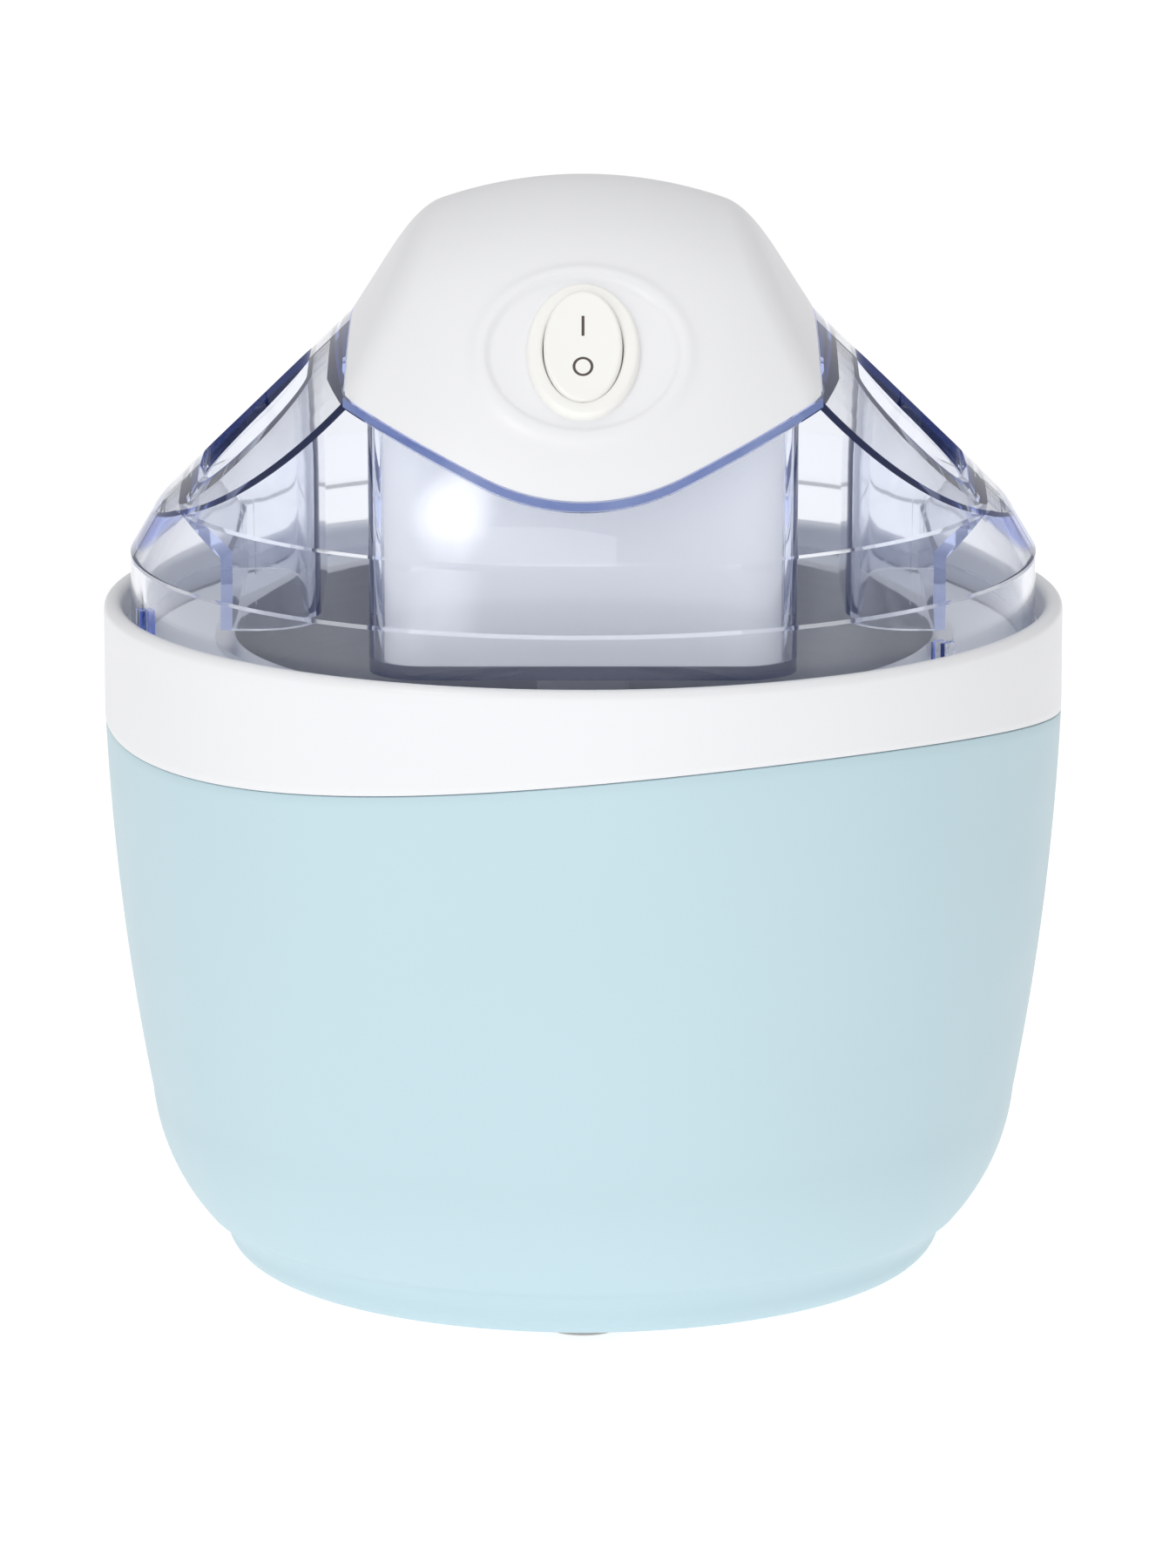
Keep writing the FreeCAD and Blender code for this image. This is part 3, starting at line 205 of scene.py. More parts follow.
BEAD_TINT_SCALE = 70.0
BEAD_ALPHA = 0.72


def new_material(name):
    """A node material with a Principled shader and object coordinates."""
    material = bpy.data.materials.new(name)
    material.use_nodes = True
    nodes = material.node_tree.nodes
    shader = nodes["Principled BSDF"]
    where = nodes.new("ShaderNodeTexCoord")
    return material, shader, where.outputs["Object"]


def noise(material, coordinates, scale, detail=3.0):
    """A cloudy pattern over the piece, mostly between 0.15 and 0.85."""
    node = material.node_tree.nodes.new("ShaderNodeTexNoise")
    node.inputs["Scale"].default_value = scale
    node.inputs["Detail"].default_value = detail
    material.node_tree.links.new(coordinates, node.inputs["Vector"])
    return node.outputs["Fac"]


def map_range(tree, value, start, end, low=0.0, high=1.0):
    """A node that takes start to end onto low to high, and holds both ends."""
    node = tree.nodes.new("ShaderNodeMapRange")
    node.inputs["From Min"].default_value = start
    node.inputs["From Max"].default_value = end
    node.inputs["To Min"].default_value = low
    node.inputs["To Max"].default_value = high
    tree.links.new(value, node.inputs["Value"])
    return node


def spread(material, factor, low, high):
    """A number that wanders between low and high with a noise."""
    return map_range(material.node_tree, factor, *NOISE_SPAN, low, high).outputs["Result"]


def ramp(material, value, start, end):
    """0 at start, 1 at end, and even between them."""
    return map_range(material.node_tree, value, start, end).outputs["Result"]


def blend_colours(material, factor, first, second):
    node = material.node_tree.nodes.new("ShaderNodeMix")
    node.data_type = "RGBA"
    node.inputs["A"].default_value = (*first, 1)
    node.inputs["B"].default_value = (*second, 1)
    material.node_tree.links.new(factor, node.inputs["Factor"])
    return node.outputs["Result"]


def mix_shaders(tree, factor, first, second):
    node = tree.nodes.new("ShaderNodeMixShader")
    tree.links.new(factor, node.inputs["Fac"])
    tree.links.new(first, node.inputs[1])
    tree.links.new(second, node.inputs[2])
    return node.outputs["Shader"]


def bump(material, shader, height, strength, distance):
    """Let a pattern tilt the surface's shading."""
    node = material.node_tree.nodes.new("ShaderNodeBump")
    node.inputs["Strength"].default_value = strength
    node.inputs["Distance"].default_value = distance
    material.node_tree.links.new(height, node.inputs["Height"])
    material.node_tree.links.new(node.outputs["Normal"], shader.inputs["Normal"])


def tinted(colour, gain):
    return tuple(channel * gain for channel in colour)


def moulded(name, colour, roughness, grain=2600.0, grain_depth=0.02):
    """Moulded plastic: a slight drift of colour and gloss, and a fine grain with its depth in millimetres."""
    material, shader, where = new_material(name)
    links = material.node_tree.links
    drift = spread(material, noise(material, where, COLOUR_DRIFT_SCALE, 0.0), 0.0, 1.0)
    dark, pale = (tinted(colour, gain) for gain in COLOUR_DRIFT)
    links.new(blend_colours(material, drift, dark, pale), shader.inputs["Base Color"])
    smooth, rough = (roughness * gain for gain in GLOSS_DRIFT)
    gloss = spread(material, noise(material, where, GLOSS_DRIFT_SCALE, 0.0), smooth, rough)
    links.new(gloss, shader.inputs["Roughness"])
    bump(material, shader, noise(material, where, grain, 2.0), GRAIN_STRENGTH, grain_depth * MM)
    return material


def metal(name, colour, roughness, along=(1.0, 1.0, 1.0), scale=900.0):
    """Bare metal with fine marks, drawn out along an axis where along is uneven."""
    material, shader, where = new_material(name)
    links = material.node_tree.links
    stretch = material.node_tree.nodes.new("ShaderNodeMapping")
    stretch.inputs["Scale"].default_value = along
    links.new(where, stretch.inputs["Vector"])
    marks = noise(material, stretch.outputs["Vector"], scale, 4.0)
    drift = spread(material, marks, 0.0, 1.0)
    links.new(blend_colours(material, drift, tinted(colour, METAL_DARK), colour), shader.inputs["Base Color"])
    smooth, rough = (roughness * gain for gain in METAL_GLOSS_DRIFT)
    links.new(spread(material, marks, smooth, rough), shader.inputs["Roughness"])
    bump(material, shader, marks, METAL_MARK_STRENGTH, METAL_MARK_DEPTH)
    shader.inputs["Metallic"].default_value = 1.0
    return material


def vector_step(material, operation, first, second=None):
    """One operation on vectors; second is a socket or a fixed vector."""
    node = material.node_tree.nodes.new("ShaderNodeVectorMath")
    node.operation = operation
    material.node_tree.links.new(first, node.inputs[0])
    if isinstance(second, Vector):
        node.inputs[1].default_value = second
    elif second is not None:
        material.node_tree.links.new(second, node.inputs[1])
    return node.outputs


def scalar_step(material, operation, first, second=None):
    """One operation on numbers; second is a socket or a fixed number."""
    node = material.node_tree.nodes.new("ShaderNodeMath")
    node.operation = operation
    material.node_tree.links.new(first, node.inputs[0])
    if isinstance(second, float):
        node.inputs[1].default_value = second
    elif second is not None:
        material.node_tree.links.new(second, node.inputs[1])
    return node.outputs["Value"]


def parts_of(material, vector):
    """The X, Y and Z of a vector."""
    node = material.node_tree.nodes.new("ShaderNodeSeparateXYZ")
    material.node_tree.links.new(vector, node.inputs["Vector"])
    return node.outputs


def dome_edges(material, where, facing):
    """Mask for the lid's painted blue edge light: where a face is a cut edge of the dome's skin, near the
    skin, and facing across it.
    """
    spoke = vector_step(material, "SUBTRACT", where, DOME_MID)["Vector"]
    outward = vector_step(material, "NORMALIZE", spoke)["Vector"]
    along = vector_step(material, "DOT_PRODUCT", outward, facing)["Value"]
    across = ramp(material, scalar_step(material, "ABSOLUTE", along), EDGE_ACROSS[1], EDGE_ACROSS[0])
    reach = vector_step(material, "LENGTH", spoke)["Value"]
    start, end = (DOME_R - LID_WALL - margin for margin in EDGE_NEAR_SKIN)
    near = ramp(material, reach, start, end)
    above = ramp(material, parts_of(material, where)["Z"], LID_FLANGE_TOP, LID_FLANGE_TOP + EDGE_SOFT_FLANGE)
    return scalar_step(material, "MULTIPLY", scalar_step(material, "MULTIPLY", across, near), above)


def wing_edges(material, where, facing):
    """Mask for the lid's painted blue edge light: where a steep face lies just below the sloping top of a
    wing, at its slot's edge and its rim.
    """
    spot = parts_of(material, where)
    slope = math.tan(WING_ANGLE)
    fall = scalar_step(material, "MULTIPLY", scalar_step(material, "ABSOLUTE", spot["X"]), slope)
    level = scalar_step(material, "ADD", spot["Z"], fall)
    under = SADDLE_TOP + SADDLE_HALF * slope - LID_WALL / math.cos(WING_ANGLE)
    near = ramp(material, level, under - EDGE_SOFT_WING, under)
    tilt = scalar_step(material, "ABSOLUTE", parts_of(material, facing)["Z"])
    return scalar_step(material, "MULTIPLY", near, ramp(material, tilt, EDGE_STEEP[1], EDGE_STEEP[0]))


def clear_plastic(name, tint, painted_edge_blue, depth_tint, density, glow_colour):
    """Clear moulding: polished, faintly uneven, bluer where light crosses more of it; its cut edges get
    painted blue light, as a bluer colour and a glow, and the whole lid a faint painted glow.
    """
    material, shader, where = new_material(name)
    tree = material.node_tree
    output = tree.nodes["Material Output"]
    facing = tree.nodes.new("ShaderNodeTexCoord").outputs["Normal"]
    # Painted edge light: on the cut edges the base colour turns blue, standing in for the light that runs
    # inside the moulding.
    edges = scalar_step(material, "MAXIMUM", dome_edges(material, where, facing),
                        wing_edges(material, where, facing))
    tree.links.new(blend_colours(material, edges, tint, painted_edge_blue), shader.inputs["Base Color"])
    # Painted glow: faint over the whole lid, stronger on the cut edges, though the lid is no lamp.
    glow = map_range(tree, edges, 0.0, 1.0, SKIN_GLOW, EDGE_GLOW).outputs["Result"]
    tree.links.new(glow, shader.inputs["Emission Strength"])
    shader.inputs["Emission Color"].default_value = (*glow_colour, 1)
    shader.inputs["Transmission Weight"].default_value = 1.0
    shader.inputs["IOR"].default_value = LID_IOR
    gloss = spread(material, noise(material, where, LID_GLOSS_SCALE), *LID_GLOSS)
    tree.links.new(gloss, shader.inputs["Roughness"])
    wave = noise(material, where, LID_WAVE_SCALE, 1.0)
    bump(material, shader, wave, LID_WAVE_STRENGTH, LID_WAVE_DEPTH)

    # Light from the lamps passes straight through, so the clear lid casts no dark shadow
    path = tree.nodes.new("ShaderNodeLightPath").outputs
    lamp_light = scalar_step(material, "MAXIMUM", path["Is Shadow Ray"], path["Is Diffuse Ray"])
    passed = tree.nodes.new("ShaderNodeBsdfTransparent")
    passed.inputs["Color"].default_value = (1, 1, 1, 1)
    surface = mix_shaders(tree, lamp_light, shader.outputs["BSDF"], passed.outputs["BSDF"])
    tree.links.new(surface, output.inputs["Surface"])
    depth = tree.nodes.new("ShaderNodeVolumeAbsorption")
    depth.inputs["Color"].default_value = (*depth_tint, 1)
    depth.inputs["Density"].default_value = density
    tree.links.new(depth.outputs["Volume"], output.inputs["Volume"])
    return material


def painted_edge_light_strip(name, deep, pale):
    """Painted light for the lid's thick edge: a blue, half see-through colour that stands in for the light
    that runs inside the moulding and gathers there.
    """
    material, shader, where = new_material(name)
    links = material.node_tree.links
    drift = spread(material, noise(material, where, BEAD_TINT_SCALE), 0.0, 1.0)
    links.new(blend_colours(material, drift, deep, pale), shader.inputs["Base Color"])
    gloss = spread(material, noise(material, where, LID_GLOSS_SCALE), *BEAD_GLOSS)
    links.new(gloss, shader.inputs["Roughness"])
    shader.inputs["Alpha"].default_value = BEAD_ALPHA
    return material


BLUE = (0.525, 0.685, 0.745)
WHITE = (0.885, 0.89, 0.91)
CREAM = (0.94, 0.935, 0.905)
MARK_BROWN = (0.085, 0.066, 0.055)

M = {
    "shell_blue": moulded("shell_blue_satin", BLUE, 0.42, grain_depth=0.03),
    "ring_white": moulded("ring_white_plastic", tinted(WHITE, 0.95), 0.34, grain_depth=0.005),
    "motor_white": moulded("motor_white_plastic", WHITE, 0.33),
    # A brighter copy of the motor white: painted light that makes up for the shade on the lower case behind
    # the lid and under the cover
    "brightened_case_white": moulded("case_white_painted_lit_plastic", (0.95, 0.955, 0.97), 0.35),
    "switch_cream": moulded("switch_cream_plastic", CREAM, 0.3, grain_depth=0.01),
    "mark": moulded("mark_brown_ink", MARK_BROWN, 0.5, grain_depth=0.005),
    "foot_rubber": moulded("foot_grey_rubber", (0.37, 0.38, 0.37), 0.55, grain=1800.0),
    "bowl_plastic": moulded("bowl_grey_plastic", (0.72, 0.75, 0.79), 0.4),
    "paddle_white": moulded("paddle_white_plastic", (0.84, 0.85, 0.86), 0.35),
    "gear_nylon": moulded("gear_nylon", (0.82, 0.80, 0.72), 0.45),
    "coolant": moulded("coolant_gel", (0.30, 0.52, 0.72), 0.25),
    "seal_rubber": moulded("seal_black_rubber", (0.03, 0.03, 0.03), 0.6),
    "magnet_dark": moulded("magnet_ferrite", (0.06, 0.06, 0.065), 0.5, grain_depth=0.05),
    "liner_aluminium": metal("liner_spun_aluminium", (0.80, 0.81, 0.82), 0.32, (1.0, 1.0, 30.0), 60.0),
    "steel": metal("plated_steel", (0.62, 0.63, 0.65), 0.35),
    "brass": metal("plain_brass", (0.78, 0.60, 0.30), 0.3),
    "copper_wire": metal("enamelled_copper", (0.72, 0.36, 0.18), 0.3, (1.0, 1.0, 40.0), 80.0),
    # A blue strip of painted light along the lid's edge
    "lid_bead": painted_edge_light_strip("lid_edge_painted_light", (0.13, 0.19, 0.5), (0.3, 0.38, 0.66)),
    # The clear lid, with painted blue light and glow on its cut edges
    "lid_clear": clear_plastic("lid_clear_plastic", (0.975, 0.98, 0.985), (0.2, 0.3, 0.85),
                               (0.40, 0.54, 0.95), 16.0, (0.14, 0.22, 0.75)),
}


def paint(piece, material):
    piece.data.materials.clear()
    piece.data.materials.append(material)


for part in frame["record"]["subparts"]:
    paint(NODES[part["node"]], M[part["material_slot"]])
# The lower case gets the brighter white, painted light against its shade behind the lid
paint(NODES["motor_lower_case"], M["brightened_case_white"])


# Mesh helpers

def full_turn(steps):
    """Angles evenly round a circle."""
    return [2 * math.pi * step / steps for step in range(steps)]


def quarter_turn(steps):
    """Angles after 0 up to a right angle."""
    return [math.pi / 2 * step / steps for step in range(1, steps + 1)]


def arc_points(start, end, radius, left, steps):
    """Points from start towards end on an arc with its centre on the left or right of the way."""
    chord = Vector(end) - Vector(start)
    half = chord.length / 2
    hand = 1 if left else -1
    across = Vector((-chord.y, chord.x)).normalized() * hand
    centre = (Vector(start) + Vector(end)) / 2 + across * math.sqrt(radius ** 2 - half ** 2)
    turn = 2 * math.asin(half / radius) * hand
    spoke = Vector(start) - centre
    return [tuple(centre + Matrix.Rotation(turn * step / steps, 2) @ spoke) for step in range(steps)]


def furthest(inside, limit, halvings):
    """The largest distance up to limit that is still inside, found by halving."""
    low, high = 0.0, limit
    for _ in range(halvings):
        middle = (low + high) / 2
        if inside(middle):
            low = middle
        else:
            high = middle
    return low


def closed_grid(name, rows):
    """A mesh that closes both ways, from rows of points of equal length."""
    mesh = bpy.data.meshes.new(name)
    count = len(rows[0])
    points = [point for row in rows for point in row]
    faces = []
    for i in range(len(rows)):
        after = (i + 1) % len(rows)
        for j in range(count):
            side = (j + 1) % count
            faces.append((i * count + j, after * count + j, after * count + side, i * count + side))
    mesh.from_pydata(points, [], faces)
    return mesh


def turned_mesh(name, profile, centre=(0, 0)):
    """A ring turned about an upright axis; profile(angle) gives its closed outline as (r, z)."""
    rows = []
    for angle in full_turn(ROUND_STEPS):
        rows.append([
            (centre[0] + r * math.cos(angle), centre[1] + r * math.sin(angle), z)
            for r, z in profile(angle)
        ])
    return closed_grid(name, rows)


def finish_piece(name, mesh, material, body, sharp=35.0):
    """Turn a mesh into a piece that rides on a body; edges over sharp degrees stay crisp."""
    shape = bmesh.new()
    shape.from_mesh(mesh)
    bmesh.ops.remove_doubles(shape, verts=shape.verts, dist=WELD_DISTANCE)
    bmesh.ops.recalc_face_normals(shape, faces=shape.faces)
    shape.to_mesh(mesh)
    shape.free()
    mesh.shade_smooth()
    mesh.set_sharp_from_angle(angle=math.radians(sharp))
    piece = bpy.data.objects.new(name, mesh)
    bpy.context.scene.collection.objects.link(piece)
    paint(piece, material)
    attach(piece, body)
    return piece


# Housing

def seam_height(angle):
    """The wavy seam between ring and shell: the underside of a large lying cylinder."""
    bend = (RING_R ** 2 + SEAM_RISE ** 2) / (2 * SEAM_RISE)
    across = RING_R * math.cos(angle - SEAM_TURN)
    return SEAM_LOW + bend - math.sqrt(bend ** 2 - across ** 2)


SHELL_FOOT = arc_points(SHELL_BASE, SHELL_RIM, SHELL_RIM_ROUND, True, RIM_STEPS)
SHELL_FOOT += arc_points(SHELL_RIM, SHELL_WAIST, SHELL_WAIST_ROUND, False, RIM_STEPS)
SHELL_FOOT += arc_points(SHELL_WAIST, SHELL_BELLY, SHELL_BELLY_ROUND, True, BELLY_STEPS)
SHELL_SIDE = arc_points(SHELL_BELLY, SHELL_SHOULDER, SHELL_SIDE_ROUND, True, SIDE_STEPS)
SHELL_SIDE.append(SHELL_SHOULDER)


def shell_side_radius(z):
    """The outer radius between belly and top, read from the sampled side."""
    if z >= SHELL_SHOULDER[1]:
        return RING_R
    for low, high in zip(SHELL_SIDE, SHELL_SIDE[1:]):
        if z <= high[1]:
            share = (z - low[1]) / (high[1] - low[1])
            return low[0] + (high[0] - low[0]) * share
    return RING_R


def shell_profile(angle):
    """Up the outside from the lip to the seam, then down the inside."""
    top = seam_height(angle) - SEAM_GAP
    outline = [(LIP_R, SHELL_LOW)] + SHELL_FOOT
    for step in range(SIDE_STEPS):
        z = SHELL_BELLY[1] + (top - SEAM_EDGE - SHELL_BELLY[1]) * step / SIDE_STEPS
        outline.append((shell_side_radius(z), z))
    edge = shell_side_radius(top)
    outline.append((edge, top - SEAM_EDGE))
    outline.append((edge - SEAM_EDGE_MID, top - SEAM_EDGE_MID))
    outline.append((edge - SEAM_EDGE, top))
    outline.append((edge - SHELL_WALL, top))
    for step in range(SIDE_STEPS):
        z = top + (SHELL_BELLY[1] - top) * (step + 1) / (SIDE_STEPS + 1)
        outline.append((shell_side_radius(z) - SHELL_WALL, z))
    outline.append((SHELL_BELLY[0] - SHELL_WALL, SHELL_BELLY[1]))
    outline.append((SHELL_WAIST[0] - SHELL_WALL, SHELL_WAIST[1]))
    outline.append((SHELL_RIM[0] - SHELL_WALL, LIP_TOP))
    outline.append((LIP_R, LIP_TOP))
    return outline


def ring_profile(angle):
    """Up the outside from the seam, over the rounded top, and down to the ledge and tongue."""
    low = seam_height(angle)
    inside = RING_R - RING_WALL
    outline = [(RING_R - SEAM_EDGE, low), (RING_R - SEAM_EDGE_MID, low + SEAM_EDGE_MID)]
    outline.append((RING_R, low + SEAM_EDGE))
    for step in range(RING_SIDE_STEPS):
        outline.append((RING_R, low + (RING_TOP - RING_ROUND - low) * (step + 1) / RING_SIDE_STEPS))
    for turn in quarter_turn(EDGE_STEPS):
        r = RING_R - RING_ROUND + RING_ROUND * math.cos(turn)
        outline.append((r, RING_TOP - RING_ROUND + RING_ROUND * math.sin(turn)))
    round_in = RING_WALL - RING_ROUND
    for turn in quarter_turn(SMALL_EDGE_STEPS):
        r = inside + round_in - round_in * math.sin(turn)
        outline.append((r, RING_TOP - round_in + round_in * math.cos(turn)))
    outline += [
        (inside, LEDGE_TOP),
        (LEDGE_R, LEDGE_TOP),
        (LEDGE_R, LEDGE_UNDER),
        (TONGUE_R - TONGUE_WALL, LEDGE_UNDER),
        (TONGUE_R - TONGUE_WALL, TONGUE_LOW),
        (TONGUE_R, TONGUE_LOW),
        (TONGUE_R, low),
    ]
    return outline


def foot_profile(radius, top):
    """A rubber disc with a rounded lower edge, and its stem."""
    flat = radius - FOOT_ROUND
    outline = [(0.0, 0.0), (flat, 0.0)]
    for turn in quarter_turn(SMALL_EDGE_STEPS):
        outline.append((flat + FOOT_ROUND * math.sin(turn), FOOT_ROUND - FOOT_ROUND * math.cos(turn)))
    outline += [(radius, SHELL_LOW), (FOOT_STEM_R, SHELL_LOW), (FOOT_STEM_R, top), (0.0, top)]
    return outline


def build_housing():
    shell_mesh = turned_mesh("shell_skin", shell_profile)
    shell = finish_piece("shell_skin", shell_mesh, M["shell_blue"], "housing")
    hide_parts("outer_shell")
    ring_mesh = turned_mesh("ring_skin", ring_profile)
    ring = finish_piece("ring_skin", ring_mesh, M["ring_white"], "housing")
    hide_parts("upper_ring")


def build_feet():
    """Each pad is turned about the middle of its solid."""
    for foot_name in ("foot_front", "foot_left", "foot_right"):
        low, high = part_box(foot_name)
        outline = foot_profile((high.x - low.x) / 2, high.z)
        middle = ((low.x + high.x) / 2, (low.y + high.y) / 2)
        mesh = turned_mesh(foot_name + "_pad", lambda angle: outline, middle)
        foot = finish_piece(foot_name + "_pad", mesh, M["foot_rubber"], "housing")
        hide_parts(foot_name)


# Motor unit cover: the dome between the wings, with the round dish for the switch

def split_height(x):
    """The lower edge of the cover in front view: a round middle and straight sides."""
    bend = SPLIT_ROUND * math.sin(SPLIT_ANGLE)
    if abs(x) < bend:
        return SPLIT_LOW + MOTOR_GAP + SPLIT_ROUND - math.sqrt(SPLIT_ROUND ** 2 - x ** 2)
    rise = SPLIT_ROUND * (1 - math.cos(SPLIT_ANGLE))
    return SPLIT_LOW + MOTOR_GAP + rise + (abs(x) - bend) * math.tan(SPLIT_ANGLE)


def soft_min(first, second, blend):
    """The smaller of two heights, with the crossing rounded over."""
    share = max(blend - abs(first - second), 0) / blend
    return min(first, second) - share * share * blend / 4


def cover_height(x, y, inset):
    """The cover's height over (x, y): the dome, cut by the side facet that is arched about X."""
    radius = DOME_R - inset
    dome = DOME_MID.z + math.sqrt(max(radius ** 2 - x ** 2 - y ** 2, 0))
    at_middle = SADDLE_TOP - inset / math.cos(FACET_ANGLE) + (SADDLE_HALF - abs(x)) * math.tan(FACET_ANGLE)
    facet = math.sqrt(max(at_middle ** 2 - y ** 2, 0))
    return soft_min(dome, facet, COVER_BLEND)


def edge_depth(x, inset):
    """How far the cover reaches in Y at x, down to its lower edge."""
    floor = split_height(x)
    return furthest(lambda y: cover_height(x, y, inset) > floor, DOME_R - inset, halvings=40)


def dished(point):
    """Sink a point of the dome into the flat round dish, with a soft raised lip."""
    spoke = point - DOME_MID
    height = spoke.dot(SWITCH_NORMAL)
    if height < DOME_R / 2:
        return point
    away = (spoke - SWITCH_NORMAL * height).length
    inside = min(max((DISH_R + DISH_EDGE - away) / DISH_FALL, 0), 1)
    inside = inside * inside * (3 - 2 * inside)
    lip = DISH_LIP_HEIGHT * math.exp(-((away - DISH_R - DISH_LIP_OUT) / DISH_LIP_WIDTH) ** 2)
    return point + SWITCH_NORMAL * ((SWITCH_PLANE - height) * inside + lip)


def lowered(row):
    """A side row brought down to the split line, for the upright side wall."""
    return [Vector((point.x, point.y, split_height(point.x))) for point in row]


def cover_rows(inset):
    """Rows of points from the front edge over the top to the rear edge, closer together at the sides."""
    half = SADDLE_HALF - MOTOR_GAP - inset
    rows = []
    for i in range(COVER_ACROSS_STEPS + 1):
        share = 2 * i / COVER_ACROSS_STEPS - 1
        x = half * math.sin(COVER_CROWDING * share) / math.sin(COVER_CROWDING)
        slant = math.asin(min(edge_depth(x, inset) / DOME_R, 1))
        row = []
        for j in range(COVER_ALONG_STEPS + 1):
            y = DOME_R * math.sin(slant * (2 * j / COVER_ALONG_STEPS - 1))
            point = Vector((x, y, max(cover_height(x, y, inset), split_height(x))))
            row.append(dished(point) if inset == 0 else point)
        rows.append(row)
    return [lowered(rows[0])] + rows + [lowered(rows[-1])]


def cover_mesh():
    """Outer and inner skins joined along the lower edge into one closed shell."""
    outer = cover_rows(0)
    inner = cover_rows(COVER_WALL)
    across = len(outer) - 1
    along = COVER_ALONG_STEPS
    count = along + 1
    shift = len(outer) * count
    faces = []
    for i in range(across):
        for j in range(along):
            a = i * count + j
            faces.append((a, a + count, a + count + 1, a + 1))
            faces.append((shift + a, shift + a + 1, shift + a + count + 1, shift + a + count))
    rim = [i * count for i in range(across + 1)]
    rim += [across * count + j for j in range(1, along + 1)]
    rim += [i * count + along for i in range(across - 1, -1, -1)]
    rim += list(range(along - 1, 0, -1))
    for a, b in zip(rim, rim[1:] + rim[:1]):
        faces.append((a, b, shift + b, shift + a))
    mesh = bpy.data.meshes.new("motor_cover_skin")
    mesh.from_pydata([point for row in outer + inner for point in row], [], faces)
    return mesh


def oval_prism(name, half, span, place):
    """A plain elliptical block over a span of height, used as a cutter."""
    low, high = span
    mesh = bpy.data.meshes.new(name)
    shape = bmesh.new()
    bmesh.ops.create_cone(shape, cap_ends=True, segments=CUTTER_STEPS, radius1=1, radius2=1, depth=high - low)
    stretch = Matrix.Diagonal((half[0], half[1], 1, 1))
    lift = Matrix.Translation((0, 0, (low + high) / 2))
    bmesh.ops.transform(shape, matrix=place @ lift @ stretch, verts=shape.verts)
    shape.to_mesh(mesh)
    shape.free()
    return mesh


def cut_out(piece, cutter_mesh):
    """Take a cutter out of a piece for good."""
    cutter = bpy.data.objects.new("cutter", cutter_mesh)
    bpy.context.scene.collection.objects.link(cutter)
    step = piece.modifiers.new("opening", "BOOLEAN")
    step.object = cutter
    step.operation = "DIFFERENCE"
    step.solver = "EXACT"
    with bpy.context.temp_override(object=piece, active_object=piece):
        bpy.ops.object.modifier_apply(modifier=step.name)
    bpy.data.objects.remove(cutter)


def build_cover():
    cover = finish_piece("motor_cover_skin", cover_mesh(), M["motor_white"], "motor_unit")
    cut_out(cover, oval_prism("switch_cutter", NECK_HALF, SWITCH_HOLE, SWITCH_PLACE))
    cut_out(cover, oval_prism("gland_cutter", (GLAND_R, GLAND_R), GLAND_HOLE, GLAND_PLACE))
    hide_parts("motor_top_cover")


# Flange that closes the cover's underside round the lower case

def within_case(x, y):
    """Over the lower case in plan, up to where the flange laps onto its wall."""
    over_x = max(abs(x) - CASE_HALF.x + CASE_FLANGE_LAP + CASE_CORNER_ROUND, 0)
    over_y = max(abs(y) - CASE_HALF.y + CASE_FLANGE_LAP + CASE_CORNER_ROUND, 0)
    return math.hypot(over_x, over_y) < CASE_CORNER_ROUND


def within_cover(x, y):
    """Inside the cover's wall at its lower edge, in plan."""
    return abs(x) < SADDLE_HALF - MOTOR_GAP - COVER_WALL and abs(y) < edge_depth(x, COVER_WALL)


def ray_reach(angle, inside):
    """How far a ray from the axis goes before it leaves an outline in plan."""
    def still_inside(reach):
        return inside(reach * math.cos(angle), reach * math.sin(angle))
    return furthest(still_inside, DOME_R, halvings=24)


def flange_mesh():
    """A saddle-shaped plate from the lower case's wall out to the cover's wall."""
    rows = []
    for angle in full_turn(ROUND_STEPS):
        start = ray_reach(angle, within_case)
        end = ray_reach(angle, within_cover)
        reaches = [start + (end - start) * step / FLANGE_STEPS for step in range(FLANGE_STEPS + 1)]
        under = [(reach, 0) for reach in reaches]
        over = [(reach, CASE_FLANGE_WALL) for reach in reversed(reaches)]
        rows.append([
            (reach * math.cos(angle), reach * math.sin(angle), split_height(reach * math.cos(angle)) + lift)
            for reach, lift in under + over
        ])
    return closed_grid("case_flange", rows)


def build_flange():
    # The flange takes the lower case's brighter white, painted light against the shade under the cover
    finish_piece("case_flange", flange_mesh(), M["brightened_case_white"], "motor_unit")


# Lid bead along the split between lid and motor unit: a blue strip of painted edge light

def bead_mesh(name, side):
    """A thin strip on the dome's skin below the split line, in front (side -1) or behind (side 1)."""
    section = ((0, 0), (0, BEAD_PROUD), (BEAD_WIDTH, BEAD_PROUD), (BEAD_WIDTH, 0))
    count = len(section)
    points = []
    for step in range(BEAD_STEPS + 1):
        x = SADDLE_HALF * (2 * step / BEAD_STEPS - 1)
        top = split_height(x) - MOTOR_GAP
        for drop, proud in section:
            z = top - drop
            depth = math.sqrt((DOME_R + proud) ** 2 - x ** 2 - (z - DOME_MID.z) ** 2)
            points.append((x, side * depth, z))
    last = count * BEAD_STEPS
    faces = [tuple(range(count)), tuple(last + corner for corner in reversed(range(count)))]
    for start in range(0, last, count):
        for corner in range(count):
            after = (corner + 1) % count
            faces.append((start + corner, start + count + corner, start + count + after, start + after))
    mesh = bpy.data.meshes.new(name)
    mesh.from_pydata(points, [], faces)
    return mesh


